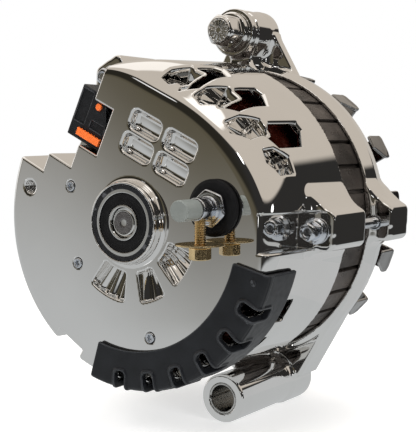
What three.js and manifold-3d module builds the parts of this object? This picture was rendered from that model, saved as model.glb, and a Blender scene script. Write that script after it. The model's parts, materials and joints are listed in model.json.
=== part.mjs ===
// Car alternator with an external fan: cast rear housing and drive-end frame, wound stator,
// claw-pole rotor, brushes, rectifier, regulator and mounting hardware.
// Millimetres, +Z up. The origin is the centre of the pivot bore in the foot, at its rear face.
// Inside the group, the shaft lies along +Y and the rear face of the housing is the plane y = 0.
import * as THREE from 'three';
import { mergeVertices } from 'three/addons/utils/BufferGeometryUtils.js';
import Module from 'manifold-3d';

const wasm = await Module();
wasm.setup();

// ---------------------------------------------------------------- driving dimensions
const GAP = 0.3;                    // clearance between touching pieces
const FAR = 300;                    // a length past the end of everything, for cutters
const DRUM_SEGMENTS = 40;           // facets round the two castings
const ROUND = 24;                   // facets round a bearing, a shaft or a boss
const SMALL = 12;                   // facets round a screw

const CASE = {
  faceRadius: 78.5,                 // rear face
  rimRadius: 80,                    // just behind the rounded rear edge
  rimBevel: 3,
  openRadius: 83,                   // at the open end, next to the stator
  depth: 71,
  wall: 4,
  cavityRadius: 76,
};
const SHOULDER = { x: -17, z: -28, radius: 98, wall: 6 };      // 45 degree slope on the vented side
const STEPS = { tilt: -25.5, depth: 46, wall: 3.2 };           // stepped corner beside the connector
const POCKET = { floor: 9.3, back: 10.9 };                      // depth of the pockets in the rear face
const VENTS = { u: -0.4, v: 40.7, pitchU: 22.7, pitchV: 12.3, width: 19.5, height: 10.3, corner: 3.4 };
const WHEEL = { inner: 24.8, outer: 40.5, sectors: [[-129, -95], [-81, -58], [-48.5, -20]] };
// Angle of each shoulder window and scoop, and how far it lies along the shaft from its outline's place.
const SIDE_VENTS = [[32.3, 9], [49.8, 0], [67.3, -4]];
const SCOOPS = [[22.7, 6.5], [38, 0], [55.5, 0], [72.8, 0]];
const LOWER_VENTS = [-31.5, -48.8, -66, -83];
const FACE_SCREWS = { radius: 2.6, places: [[-38.2, 16.9], [-33.7, -22.4], [12.3, -56.3]] };
const TAPPED_HOLE = { x: -66.5, z: 15.8, radius: 4.1, depth: 12 };

const STATOR = { radius: 79, inner: 56.5, start: 66.4, end: 106.6, slots: 36, recess: 0.4 };
const DRIVE = { start: 102, rim: 118, face: 124, hub: 137, innerRadius: 76, outerRadius: 83, windows: 8 };
const FOOT = { x: 22, z: -95.4, radius: 12.9, bore: 7, sleeve: 8.1, start: 50 };
const EAR = { x: -0.6, z: 101, radius: 13.3, hole: 5.4, start: 95, plate: 118, rib: 7 };

const BOLT = { circle: 84, shank: 2.9, hole: 3.4, seat: 36, head: 8, end: 123 };
const LUG = { half: 9.6, outer: 94, corner: 4 };
const BOLT_ANGLES = [-2, 118, 238];
const TROUGH = { half: 8.6, floor: 74 };                        // clearance for a spanner above each bolt
const EAR_BOLT = { shank: 4.9, flange: 10.4, head: 15, start: 80, end: 132 };

const REAR_BEARING = { outer: 17.5, bore: 7.5, start: -5.6, end: 5.4 };
const FRONT_BEARING = { outer: 20, bore: 8.5, start: 124, end: 136 };
const BALLS = 7;
const HUB = { rim: 20.3, base: 24, start: -6.4, floor: 6, back: 8, sleeve: 18.6, bore: 9.6 };
const RETAINER = { outer: 26, inner: 13.4, start: 116.5, end: 118.7, circle: 23.2, angles: [30, 150, 270] };

const ROTOR = { radius: 55.5, start: 58, end: 112, shaft: 8.5, disc: 13, claws: 6 };
const SLIP_RING = { outer: 11, inner: 10.15, core: 9.8, width: 6.1, starts: [13.2, 22.7] };
const FAN = {
  radius: 80,
  plateRadius: 60,                  // between the blades
  arm: 6.5,                         // half the width of the arm to a blade
  blades: 15,
  firstBlade: 4,
  front: 129.5,
  plate: 142.5,
  thickness: 1.8,
};
const SPACER = { radius: 12.5, start: 136.4, end: 139.3 };
const PULLEY = { radius: 30, flange: 32, start: 148.1, ribs: 6, pitch: 3.56, ribDepth: 2.8, web: 162 };
const NUT = { acrossFlats: 24, start: 164.6, end: 172.5 };

const BRUSH = { halfX: 4.2, halfY: 2.7, z: 11.3, length: 15, top: 38, places: [16.25, 25.75] };
const SPRING = { radius: 2, wire: 0.35, turns: 4, clearance: 0.7 };
const SOCKET = { left: -58.2, right: -34.5, low: 21.3, notch: -46.6, shelf: 44.2, high: 48.6, start: 3, end: 35 };
const HEAT_SINK = { outer: 62, thickness: 5, diodeCircle: 50, diodeRadius: 4.9 };
const NEGATIVE = { inner: 43.5, from: -140, to: -66, start: 8, diodes: [-128, -104, -80] };
const POSITIVE = { inner: 33, from: -62, to: 46, start: 16, diodes: [-52, -28, 34] };

const POST = { x: 50.5, z: 8.8, radius: 4.2, end: -29.5, bore: 4.5 };
// The bolt that hangs below the post; washer and head are how far below it they lie.
const TERMINAL = { y: -12.5, radius: 2.8, washer: 16.2, washerRadius: 11.6, head: 17 };
const BAFFLE = { from: -107, to: -14.5, inner: 63.7, outer: 83.4, band: 24, skin: 2, proud: 2.6 };
const BAFFLE_SLOTS = { first: -28.5, pitch: -13, count: 6, half: 3.6, depth: 12 };

// ---------------------------------------------------------------- finishes
const finish = (color, metalness, roughness) => new THREE.MeshStandardMaterial({ color, metalness, roughness });
const chrome = finish('#d8d9dc', 1.0, 0.08);
const steel = finish('#a9abae', 1.0, 0.3);
const darkSteel = finish('#4a4848', 0.9, 0.45);
const lamination = finish('#6d6661', 0.7, 0.5);
const blackPlastic = finish('#1b1c1e', 0.0, 0.4);
const blackRubber = finish('#111214', 0.0, 0.55);
const greyPlastic = finish('#7f857f', 0.0, 0.4);
const orangePlastic = finish('#e4672a', 0.0, 0.45);
const brass = finish('#b8934a', 1.0, 0.3);
const copper = finish('#a4552b', 0.9, 0.35);
const carbon = finish('#2c2b2b', 0.2, 0.6);
const aluminium = finish('#b6b7b9', 1.0, 0.4);

// ---------------------------------------------------------------- solids
const rad = THREE.MathUtils.degToRad;
const deg = THREE.MathUtils.radToDeg;

// A manifold solid from a closed three.js geometry, turned inside out where its faces point in.
function solid(geometry) {
  const bare = new THREE.BufferGeometry();
  bare.setAttribute('position', geometry.getAttribute('position').clone());
  if (geometry.index) bare.setIndex(geometry.index.clone());
  const merged = mergeVertices(bare, 1e-4);
  const points = merged.getAttribute('position').array;
  const corners = merged.index.array;
  const kept = [];
  for (let i = 0; i < corners.length; i += 3) {
    const [a, b, c] = [corners[i], corners[i + 1], corners[i + 2]];
    if (a !== b && b !== c && c !== a) kept.push(a, b, c);
  }
  if (signedVolume(points, kept) < 0) {
    for (let i = 0; i < kept.length; i += 3) [kept[i + 1], kept[i + 2]] = [kept[i + 2], kept[i + 1]];
  }
  return new wasm.Manifold(new wasm.Mesh({
    numProp: 3,
    vertProperties: new Float32Array(points),
    triVerts: new Uint32Array(kept),
  }));
}

function signedVolume(points, corners) {
  const at = (i) => new THREE.Vector3(points[3 * i], points[3 * i + 1], points[3 * i + 2]);
  let total = 0;
  for (let i = 0; i < corners.length; i += 3) {
    total += at(corners[i]).dot(at(corners[i + 1]).cross(at(corners[i + 2])));
  }
  return total;
}

function geometryOf(body) {
  const mesh = body.getMesh();
  const geometry = new THREE.BufferGeometry();
  geometry.setAttribute('position', new THREE.BufferAttribute(mesh.vertProperties, 3));
  geometry.setIndex(new THREE.BufferAttribute(mesh.triVerts, 1));
  geometry.computeVertexNormals();
  return geometry;
}

const join = (...bodies) => bodies.reduce((sum, body) => sum.add(body));
const cut = (body, cutters) => cutters.reduce((left, cutter) => left.subtract(cutter), body);

// A round solid about the shaft axis; the profile is [radius, y] pairs and closes on itself.
function turned(profile, segments = ROUND) {
  const points = [...profile, profile[0]].map(([r, y]) => new THREE.Vector2(r, y));
  return solid(new THREE.LatheGeometry(points, segments));
}

// A round solid with material on the axis; its profile runs along y from one end face to the other.
function spindle(profile, segments = ROUND) {
  const whole = [[0, profile[0][1]], ...profile, [0, profile[profile.length - 1][1]]];
  return solid(new THREE.LatheGeometry(whole.map(([r, y]) => new THREE.Vector2(r, y)), segments));
}

// A ring between two planes across the shaft.
const ring = (outer, inner, y0, y1, segments = ROUND) => turned(
  [[inner, y0], [outer, y0], [outer, y1], [inner, y1]], segments);

const disc = (radius, y0, y1, segments = ROUND) => spindle([[radius, y0], [radius, y1]], segments);

// A round rod parallel to the shaft, at (x, z).
const rod = ({ x, z }, radius, y0, y1, segments = 16) => disc(radius, y0, y1, segments).translate([x, 0, z]);

// A straight-sided solid: an outline in x and z, pushed along y from y0 to y1.
function prism(outline, y0, y1) {
  const shape = new THREE.Shape(outline.map(([x, z]) => new THREE.Vector2(x, z)));
  const geometry = new THREE.ExtrudeGeometry(shape, { depth: y1 - y0, bevelEnabled: false });
  geometry.rotateX(Math.PI / 2);
  geometry.translate(0, y1, 0);
  return solid(geometry);
}

// A solid that points outward at an angle about the shaft; its outline is [sideways, y] pairs.
function radial(outline, angle, r0, r1) {
  const shape = new THREE.Shape(outline.map(([t, y]) => new THREE.Vector2(t, y)));
  const geometry = new THREE.ExtrudeGeometry(shape, { depth: r1 - r0, bevelEnabled: false });
  geometry.translate(0, 0, r0);
  geometry.rotateY(rad(90 - angle));
  return solid(geometry);
}

const radialBox = (half, y0, y1, angle, r0, r1) => radial(
  [[-half, y0], [half, y0], [half, y1], [-half, y1]], angle, r0, r1);

function block(x0, x1, y0, y1, z0, z1) {
  const geometry = new THREE.BoxGeometry(x1 - x0, y1 - y0, z1 - z0);
  geometry.translate((x0 + x1) / 2, (y0 + y1) / 2, (z0 + z1) / 2);
  return solid(geometry);
}

// A rod along Z, at (x, y).
function upright(x, y, radius, z0, z1, segments = 16) {
  const geometry = new THREE.CylinderGeometry(radius, radius, z1 - z0, segments);
  geometry.rotateX(Math.PI / 2);
  geometry.translate(x, y, (z0 + z1) / 2);
  return solid(geometry);
}

function polar(radius, angle) {
  return { x: radius * Math.cos(rad(angle)), z: radius * Math.sin(rad(angle)) };
}

function arc(centreX, centreZ, radius, from, to, steps) {
  const points = [];
  for (let i = 0; i <= steps; i++) {
    const { x, z } = polar(radius, from + ((to - from) * i) / steps);
    points.push([centreX + x, centreZ + z]);
  }
  return points;
}

// A pie slice across the shaft, for keeping part of a ring.
function wedge(from, to, y0, y1) {
  const steps = Math.ceil((to - from) / 30);
  return prism([[0, 0], ...arc(0, 0, FAR, from, to, steps)], y0, y1);
}

// A ring sector with straight ends.
const sector = (inner, outer, from, to, y0, y1, steps = 6) => prism(
  [...arc(0, 0, outer, from, to, steps), ...arc(0, 0, inner, to, from, steps)], y0, y1);

// An outline turned about the shaft.
function turnedOutline(points, angle) {
  const c = Math.cos(rad(angle));
  const s = Math.sin(rad(angle));
  return points.map(([u, v]) => [u * c - v * s, u * s + v * c]);
}

// Outline points given as [u, v] in the tilted axes of the connector corner.
const tilted = (points) => turnedOutline(points, STEPS.tilt);

const rectangle = (u0, u1, v0, v1) => [[u0, v0], [u1, v0], [u1, v1], [u0, v1]];

function roundedRectangle(centreU, centreV, width, height, corner) {
  const [w, h] = [width / 2 - corner, height / 2 - corner];
  const signs = [[1, 1], [-1, 1], [-1, -1], [1, -1]];
  return signs.flatMap(([a, b], i) => arc(centreU + a * w, centreV + b * h, corner, i * 90, i * 90 + 90, 2));
}

const hexagon = ({ x, z }, acrossFlats, turn = 0) => arc(x, z, acrossFlats / Math.sqrt(3), turn, turn + 300, 5);

const alternator = new THREE.Group();
alternator.position.set(-FOOT.x, -FOOT.start, -FOOT.z);

function piece(name, body, material) {
  const mesh = new THREE.Mesh(geometryOf(body), material);
  mesh.name = name;
  alternator.add(mesh);
}

// ---------------------------------------------------------------- rear housing
// The stepped corner is open for the regulator's connector; grow makes the same steps larger.
function steppedCorner(y0, y1, grow = 0) {
  const steps = [[-62.5, -2.4, 90], [-46.2, 7.8, 90], [-33.4, 20.5, 45]];
  const boxes = steps.map(([right, low, high]) => prism(
    tilted(rectangle(-120, right + grow, low - grow, high + grow)), y0, y1));
  return join(...boxes);
}

// The slope that takes off the rear edge: a cone about an axis beside the shaft, which runs on as
// a flat slope beside the connector corner.
function shoulder(inset) {
  const radius = SHOULDER.radius - inset;
  const profile = [[radius - 20, -20], [radius + 40, 40], [FAR, 40], [FAR, 90]];
  const cone = spindle(profile, DRUM_SEGMENTS).translate([SHOULDER.x, 0, SHOULDER.z]);
  const section = new THREE.Shape([[-FAR, -20], ...profile, [-FAR, 90]].map(([v, y]) => new THREE.Vector2(v, y)));
  const flat = new THREE.ExtrudeGeometry(section, { depth: FAR, bevelEnabled: false });
  flat.applyMatrix4(tiltedAxes().setPosition(SHOULDER.x, 0, SHOULDER.z));
  return join(cone, solid(flat));
}

// Local x along v, y along the shaft and z against u, in the tilted axes of the connector corner.
function tiltedAxes() {
  const [[uX, uZ], [vX, vZ]] = tilted([[1, 0], [0, 1]]);
  return new THREE.Matrix4().makeBasis(
    new THREE.Vector3(vX, 0, vZ), new THREE.Vector3(0, 1, 0), new THREE.Vector3(-uX, 0, -uZ));
}

function housingOutside() {
  const profile = [[CASE.faceRadius, 0], [CASE.rimRadius, CASE.rimBevel], [CASE.openRadius, CASE.depth]];
  const drum = spindle(profile, DRUM_SEGMENTS);
  return drum.intersect(shoulder(0)).subtract(steppedCorner(-5, STEPS.depth));
}

// Hollow for the stator, rotor and rectifier, less the material round each bolt trough.
function housingInside() {
  const mouth = STATOR.start - STATOR.recess;
  const profile = [[CASE.cavityRadius, CASE.wall], [CASE.cavityRadius, mouth], [CASE.cavityRadius, 90]];
  const hollow = spindle(profile, DRUM_SEGMENTS).intersect(shoulder(SHOULDER.wall));
  const floors = BOLT_ANGLES.map((angle) => radialBox(12, -5, BOLT.seat + 3, angle, TROUGH.floor - 3, 110));
  return cut(hollow, [steppedCorner(-5, STEPS.depth + 4, STEPS.wall), ...floors]);
}

function squareVents() {
  const cutters = [];
  for (const i of [-0.5, 0.5]) {
    for (const j of [-0.5, 0.5]) {
      const outline = roundedRectangle(VENTS.u + i * VENTS.pitchU, VENTS.v + j * VENTS.pitchV,
        VENTS.width, VENTS.height, VENTS.corner);
      cutters.push(prism(tilted(outline), -5, POCKET.floor));
    }
  }
  return cutters;
}

// An outline of (side, y) points moved along the shaft.
function slid(outline, along) {
  return outline.map(([side, y]) => [side, y + along]);
}

function drumVents() {
  const side = [[-6.7, 14], [0, 9], [6.1, 16], [6.1, 42], [4, 42], [-6.7, 36]];
  const scoop = [[-7, 10], [0, 5], [6, 6], [6, 12], [1, 20.5], [-7, 20.5]];
  return [
    ...SIDE_VENTS.map(([angle, along]) => radial(slid(side, along), angle, 60, 100)),
    ...SCOOPS.map(([angle, along]) => radial(slid(scoop, along), angle, 60, 100)),
    ...LOWER_VENTS.map((angle) => radialBox(6.5, 20, 37, angle, 65, 100)),
    ...baffleSlots(3.4, -5, 13, 70),
  ];
}

function baffleSlots(half, y0, y1, r0) {
  const { first, pitch, count } = BAFFLE_SLOTS;
  return Array.from({ length: count }, (_, i) => radialBox(half, y0, y1, first + i * pitch, r0, 100));
}

function faceHoles() {
  const screws = FACE_SCREWS.places.map(([x, z]) => rod({ x, z }, FACE_SCREWS.radius + GAP, -5, 12, SMALL));
  const regulatorWindow = prism(tilted(rectangle(-36, -25, 26.5, 40.5)), 12.5, 33.5);
  const tapped = rod(TAPPED_HOLE, TAPPED_HOLE.radius, -5, TAPPED_HOLE.depth);
  return [...screws, tapped, rod(POST, 7.4, -5, 12), regulatorWindow];
}

// A lug for a through-bolt: a block on the drum with two rounded outer corners.
function boltLug(angle, y0, y1) {
  const { half, outer, corner } = LUG;
  const outline = [
    [80.5, -half],
    ...arc(outer - corner, corner - half, corner, -90, 0, 4),
    ...arc(outer - corner, half - corner, corner, 0, 90, 4),
    [80.5, half],
  ];
  return prism(turnedOutline(outline, angle), y0, y1);
}

const boltHole = (angle) => rod(polar(BOLT.circle, angle), BOLT.hole, 0, 130, SMALL);

function rearHousing() {
  const shell = housingOutside().subtract(housingInside()).subtract(disc(HUB.base - 0.5, -5, 12));
  const hub = turned([[HUB.bore, HUB.back], [HUB.base, HUB.back], [HUB.base, 0], [HUB.rim, -4],
    [HUB.rim, HUB.start], [HUB.sleeve + GAP, HUB.start], [HUB.sleeve + GAP, HUB.floor], [HUB.bore, HUB.floor]]);
  const pocketBacks = [
    prism(tilted(rectangle(VENTS.u - 24, VENTS.u + 24, VENTS.v - 14, VENTS.v + 14)), CASE.wall - 1, POCKET.back),
    sector(HUB.base - 1, WHEEL.outer + 2.5, -132, -17, CASE.wall - 1, POCKET.back, 8),
  ];
  const wheel = WHEEL.sectors.map(([from, to]) => sector(WHEEL.inner, WHEEL.outer, from, to, -5, POCKET.floor, 4));
  const troughs = BOLT_ANGLES.map((angle) => radialBox(TROUGH.half, -5, BOLT.seat, angle, TROUGH.floor, 110));
  const cutters = [...wheel, ...squareVents(), ...drumVents(), ...troughs, ...faceHoles()];
  const open = cut(join(shell, hub, ...pocketBacks), cutters);
  const body = join(open, ...BOLT_ANGLES.map((angle) => boltLug(angle, BOLT.seat, CASE.depth)));
  const seat = disc(STATOR.radius + STATOR.recess, STATOR.start - STATOR.recess, 90, DRUM_SEGMENTS);
  return cut(body, [...BOLT_ANGLES.map(boltHole), seat]);
}
piece('rear_housing', rearHousing(), chrome);

// ---------------------------------------------------------------- drive-end frame
// The outline round a boss and the drum, joined by the lines that touch both.
function webOutline(boss, bossRadius, drumRadius) {
  const distance = Math.hypot(boss.x, boss.z);
  const lean = deg(Math.acos((drumRadius - bossRadius) / distance));
  const heading = deg(Math.atan2(boss.z, boss.x));
  return [
    ...arc(boss.x, boss.z, bossRadius, heading - lean, heading + lean, 10),
    ...arc(0, 0, drumRadius - 4, heading + lean, heading - lean, 6),
  ];
}

function driveShell() {
  const outside = spindle([[81, DRIVE.start], [DRIVE.outerRadius, DRIVE.rim - 6], [82, DRIVE.rim + 1],
    [77, DRIVE.face], [60, DRIVE.face + 1], [32, DRIVE.face + 3], [27, DRIVE.hub]], DRUM_SEGMENTS);
  const inside = spindle([[STATOR.radius + STATOR.recess, 90], [STATOR.radius + STATOR.recess, STATOR.end + 0.4],
    [DRIVE.innerRadius, STATOR.end + 0.4], [DRIVE.innerRadius - 2, DRIVE.rim], [27, DRIVE.rim + 1]], DRUM_SEGMENTS);
  return { outside, inside };
}

function driveEndFrame() {
  const { outside, inside } = driveShell();
  const foot = join(
    rod(FOOT, FOOT.radius, FOOT.start, DRIVE.face, 20),
    prism(webOutline(FOOT, FOOT.radius, 80), DRIVE.start + 1, DRIVE.face),
    radial([[-5, 76], [5, 104], [5, 120], [-5, 120]], deg(Math.atan2(FOOT.z, FOOT.x)), 80.5, 92),
  );
  const ear = join(
    rod(EAR, EAR.radius, EAR.start, DRIVE.face, 20),
    prism(webOutline(EAR, EAR.radius - 0.8, 62), EAR.plate, DRIVE.face),
    radialBox(EAR.rib, DRIVE.start, DRIVE.face, 90, 79.5, EAR.z - 2),
  );
  const lugs = BOLT_ANGLES.map((angle) => boltLug(angle, DRIVE.start, DRIVE.face));
  const pitch = 360 / DRIVE.windows;
  const windows = Array.from({ length: DRIVE.windows }, (_, i) => sector(
    36, 68, i * pitch + 8, (i + 1) * pitch - 8, 110, 140, 4));
  return cut(join(outside, foot, ear, ...lugs), [
    inside,
    disc(FRONT_BEARING.outer + GAP, FRONT_BEARING.start - GAP, FAR),
    disc(14, 100, 130),
    ...windows,
    ...BOLT_ANGLES.map(boltHole),
    rod(FOOT, FOOT.sleeve + GAP, 0, 200, ROUND),
    rod(EAR, EAR.hole, 0, 200, 20),
  ]);
}
piece('drive_end_frame', driveEndFrame(), chrome);

// A split steel sleeve in the foot, which slides to take up the bracket's width.
function footBushing() {
  const slit = block(FOOT.x - 12, FOOT.x - 5, 0, 200, FOOT.z - 0.6, FOOT.z + 0.6);
  const sleeve = ring(FOOT.sleeve, FOOT.bore, FOOT.start + 0.5, DRIVE.face - 0.5).translate([FOOT.x, 0, FOOT.z]);
  return sleeve.subtract(slit);
}
piece('foot_bushing', footBushing(), steel);

// ---------------------------------------------------------------- stator
const slotAngles = Array.from({ length: STATOR.slots }, (_, i) => (i * 360) / STATOR.slots);

function statorCore() {
  const slots = slotAngles.map((angle) => radialBox(1.6, 60, 110, angle, 50, 69));
  return cut(ring(STATOR.radius, STATOR.inner, STATOR.start, STATOR.end, STATOR.slots), slots);
}
piece('stator_core', statorCore(), lamination);

function statorWinding() {
  const rearTurns = turned([[60, 63.5], [59, 55], [65, 50], [70.5, 54], [70, 63.5]], STATOR.slots);
  const frontTurns = turned([[60, 109.5], [70, 109.5], [70.5, 113], [65, 116.5], [59.5, 114]], STATOR.slots);
  const bars = slotAngles.map((angle) => radialBox(1.2, 62, 110.5, angle, 60.5, 68.4));
  return join(rearTurns, frontTurns, ...bars);
}
piece('stator_winding', statorWinding(), copper);

// ---------------------------------------------------------------- bearings
// A race is a ring with a groove; side is 1 for the outer race and -1 for the inner one.
function race(edge, side, { pitch, ball, mid, half }) {
  const shoulder = pitch + side * ball * 0.62;
  const groove = pitch + side * (ball + GAP);
  return turned([[edge, mid - half], [edge, mid + half], [shoulder, mid + half], [shoulder, mid + ball * 0.7],
    [groove, mid + ball * 0.3], [groove, mid - ball * 0.3], [shoulder, mid - ball * 0.7], [shoulder, mid - half]]);
}

// The balls in their cage, as one solid.
function ballCage({ pitch, ball, mid }) {
  const cage = ring(pitch + 0.9, pitch - 0.9, mid - 1.2, mid + 1.2, 3 * BALLS);
  const balls = Array.from({ length: BALLS }, (_, i) => {
    const { x, z } = polar(pitch, (i * 360) / BALLS);
    const sphere = new THREE.SphereGeometry(ball * 0.9, 6, 3);
    sphere.translate(x, mid, z);
    return solid(sphere);
  });
  return join(cage, ...balls);
}

function bearingPieces(name, spec) {
  const size = {
    pitch: (spec.outer + spec.bore) / 2,
    ball: (spec.outer - spec.bore) * 0.26,
    mid: (spec.start + spec.end) / 2,
    half: (spec.end - spec.start) / 2,
  };
  piece(`${name}_outer`, race(spec.outer, 1, size), steel);
  piece(`${name}_inner`, race(spec.bore + 0.1, -1, size), steel);
  piece(`${name}_balls`, ballCage(size), steel);
  return size;
}
const rearSize = bearingPieces('rear_bearing', REAR_BEARING);
bearingPieces('front_bearing', FRONT_BEARING);

const shoulderOffset = rearSize.ball * 0.62 - GAP;
piece('rear_bearing_seal', ring(rearSize.pitch + shoulderOffset, rearSize.pitch - shoulderOffset,
  REAR_BEARING.start + 0.3, REAR_BEARING.start + 1.3), blackRubber);
piece('rear_bearing_sleeve', ring(HUB.sleeve, REAR_BEARING.outer + GAP, HUB.start + 0.5, HUB.floor - 0.4),
  blackPlastic);

const retainerHoles = RETAINER.angles.map((angle) => polar(RETAINER.circle, angle));
piece('bearing_retainer', cut(ring(RETAINER.outer, RETAINER.inner, RETAINER.start, RETAINER.end),
  retainerHoles.map((place) => rod(place, 2.3, 110, 125, SMALL))), steel);
retainerHoles.forEach((place, i) => {
  const head = rod(place, 3.8, RETAINER.start - 2.7, RETAINER.start - GAP, SMALL);
  piece(`retainer_screw_${i + 1}`, join(head, rod(place, 2, RETAINER.start - 1, RETAINER.end, SMALL)), steel);
});

// ---------------------------------------------------------------- rotor
piece('rotor_shaft', spindle([[6.6, -4.9], [7.4, -4.1], [7.4, 8], [ROTOR.shaft, 9], [ROTOR.shaft, 160], [7.8, 161],
  [7.8, 173], [6.8, 174]]), steel);

// Claws bent along the rotor from a disc; side is 1 for the rear pole and -1 for the front pole.
function clawPole(side, turn) {
  const at = (depth) => (side > 0 ? ROTOR.start : ROTOR.end) + side * depth;
  const [d0, d1] = [at(0), at(ROTOR.disc)].sort((a, b) => a - b);
  const band = ring(ROTOR.radius, 40, 40, 130, STATOR.slots);
  let pole = ring(ROTOR.radius, ROTOR.shaft + GAP / 2, d0, d1, STATOR.slots);
  for (let i = 0; i < ROTOR.claws; i++) {
    const angle = turn + (i * 360) / ROTOR.claws;
    const gap = radialBox(13, d0 - 1, d1 + 1, angle + 180 / ROTOR.claws, 37, 70);
    const claw = radial([[-10.5, at(6)], [10.5, at(6)], [4.5, at(54)], [-4.5, at(54)]], angle, 46.5, ROTOR.radius);
    pole = pole.subtract(gap).add(claw.intersect(band));
  }
  return pole;
}
piece('pole_rear', clawPole(1, 0), darkSteel);
piece('pole_front', clawPole(-1, 180 / ROTOR.claws), darkSteel);
piece('field_coil', ring(44, ROTOR.shaft + GAP, ROTOR.start + ROTOR.disc + 0.4, ROTOR.end - ROTOR.disc - 0.4),
  copper);

// The insulating sleeve on the shaft, with a groove for each slip ring.
function slipRingSleeve() {
  const sleeve = ring(SLIP_RING.outer, ROTOR.shaft + GAP, 9.4, 33.5, 20);
  const grooves = SLIP_RING.starts.map((y) => ring(20, SLIP_RING.core, y - GAP, y + SLIP_RING.width + GAP, 20));
  return cut(sleeve, grooves);
}
piece('slip_ring_sleeve', slipRingSleeve(), blackPlastic);
SLIP_RING.starts.forEach((y, i) => {
  piece(`slip_ring_${i + 1}`, ring(SLIP_RING.outer, SLIP_RING.inner, y, y + SLIP_RING.width, 20), copper);
});

// ---------------------------------------------------------------- drive side
// A pressed plate with an arm to each blade; the blades are folded forward from the arms' ends.
function fan() {
  const { radius, arm, blades: count, plate, thickness, front, plateRadius } = FAN;
  const back = plate + thickness;
  const dish = turned([[9, 139.6], [24, 139.6], [30, plate], [plateRadius, plate], [plateRadius, back],
    [29.2, back], [23, 142], [9, 142]], 2 * count);
  const outline = [[-7.5, front + 9], [-1, front], [6.5, front], [6.5, back - 0.1], [-7.5, back - 0.1]];
  const blades = Array.from({ length: count }, (_, i) => {
    const angle = FAN.firstBlade + (i * 360) / count;
    const blade = radial(outline, angle, radius - thickness, radius);
    return blade.add(radialBox(arm, plate + 0.1, back - 0.1, angle, plateRadius - 3, radius - 1));
  });
  return join(dish, ...blades);
}
piece('fan', fan(), chrome);
piece('shaft_spacer', ring(SPACER.radius, ROTOR.shaft + 0.2, SPACER.start, SPACER.end), steel);

function pulley() {
  const start = PULLEY.start + 2;
  const end = start + PULLEY.ribs * PULLEY.pitch;
  const profile = [[8.8, 142.3], [20, 142.3], [20, PULLEY.start], [PULLEY.flange, PULLEY.start],
    [PULLEY.flange, start - 0.4]];
  for (let i = 0; i < PULLEY.ribs; i++) {
    const y = start + i * PULLEY.pitch;
    profile.push([PULLEY.radius, y], [PULLEY.radius - PULLEY.ribDepth, y + PULLEY.pitch / 2]);
  }
  profile.push([PULLEY.radius, end], [PULLEY.flange, end + 0.4], [PULLEY.flange, end + 1.6]);
  profile.push([24, end + 1.6], [21, PULLEY.web], [8.8, PULLEY.web]);
  return turned(profile);
}
piece('pulley', pulley(), chrome);
piece('pulley_washer', ring(13, 8.8, PULLEY.web + GAP, NUT.start - GAP), steel);
piece('pulley_nut', prism(hexagon({ x: 0, z: 0 }, NUT.acrossFlats), NUT.start, NUT.end)
  .subtract(disc(8.1, 150, 190)), steel);

// ---------------------------------------------------------------- brushes
function brushHolder() {
  const pockets = BRUSH.places.map((y) => block(-BRUSH.halfX - 0.4, BRUSH.halfX + 0.4,
    y - BRUSH.halfY - 0.4, y + BRUSH.halfY + 0.4, 0, BRUSH.top));
  return cut(block(-7.5, 7.5, 11.2, 31, 15, 40.5), pockets);
}
piece('brush_holder', brushHolder(), blackPlastic);

class Coil extends THREE.Curve {
  constructor(radius, turns, length) {
    super();
    Object.assign(this, { radius, turns, length });
  }

  getPoint(t) {
    const angle = 2 * Math.PI * this.turns * t;
    return new THREE.Vector3(this.radius * Math.cos(angle), this.radius * Math.sin(angle), this.length * t);
  }
}

function spring(y, z0, z1) {
  const section = new THREE.Shape(arc(0, 0, SPRING.wire, 0, 270, 3).map(([a, b]) => new THREE.Vector2(a, b)));
  const path = new Coil(SPRING.radius, SPRING.turns, z1 - z0);
  const geometry = new THREE.ExtrudeGeometry(section, { steps: 32, bevelEnabled: false, extrudePath: path });
  geometry.translate(0, y, z0);
  return solid(geometry);
}

BRUSH.places.forEach((y, i) => {
  const { halfX, halfY, z, length, top } = BRUSH;
  piece(`brush_${i + 1}`, block(-halfX, halfX, y - halfY, y + halfY, z, z + length), carbon);
  piece(`brush_spring_${i + 1}`, spring(y, z + length + SPRING.clearance, top - SPRING.clearance), steel);
});

// ---------------------------------------------------------------- regulator and connector
function regulator() {
  const box = prism(tilted(rectangle(-28.3, -6, 27, 62)), POCKET.back + 0.5, 33.5);
  const neck = prism(tilted(rectangle(-34.2, -27, 27, 40)), 13, 33);
  return join(box, neck).subtract(block(-8.5, 9, 0, 40, 5, 42));
}
piece('regulator', regulator(), blackPlastic);

function connectorSocket() {
  const { left, right, low, notch, shelf, high, start, end } = SOCKET;
  const outline = [[left, low], [right, low], [right, shelf], [notch, shelf], [notch, high], [left, high]];
  const mouth = prism(tilted(rectangle(-70, notch - 1.5, low + 3.2, high - 3.1)), start + 4, end - 4);
  return prism(tilted(outline), start, end).subtract(mouth);
}
piece('connector_socket', connectorSocket(), blackPlastic);
piece('connector_lock', prism(tilted(rectangle(-51, -35.2, 24, 28)), 0.9, SOCKET.start - GAP), orangePlastic);

// ---------------------------------------------------------------- rectifier and capacitor
function heatSink({ inner, from, to, start, diodes }) {
  const end = start + HEAT_SINK.thickness;
  const holes = diodes.map((angle) => rod(
    polar(HEAT_SINK.diodeCircle, angle), HEAT_SINK.diodeRadius + 0.4, start - 5, end + 5, SMALL));
  return cut(sector(inner, HEAT_SINK.outer, from, to, start, end, 8), holes);
}
piece('heat_sink_negative', heatSink(NEGATIVE), aluminium);
piece('heat_sink_positive', heatSink(POSITIVE).subtract(rod(POST, POST.bore, 0, 60)), aluminium);

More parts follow.
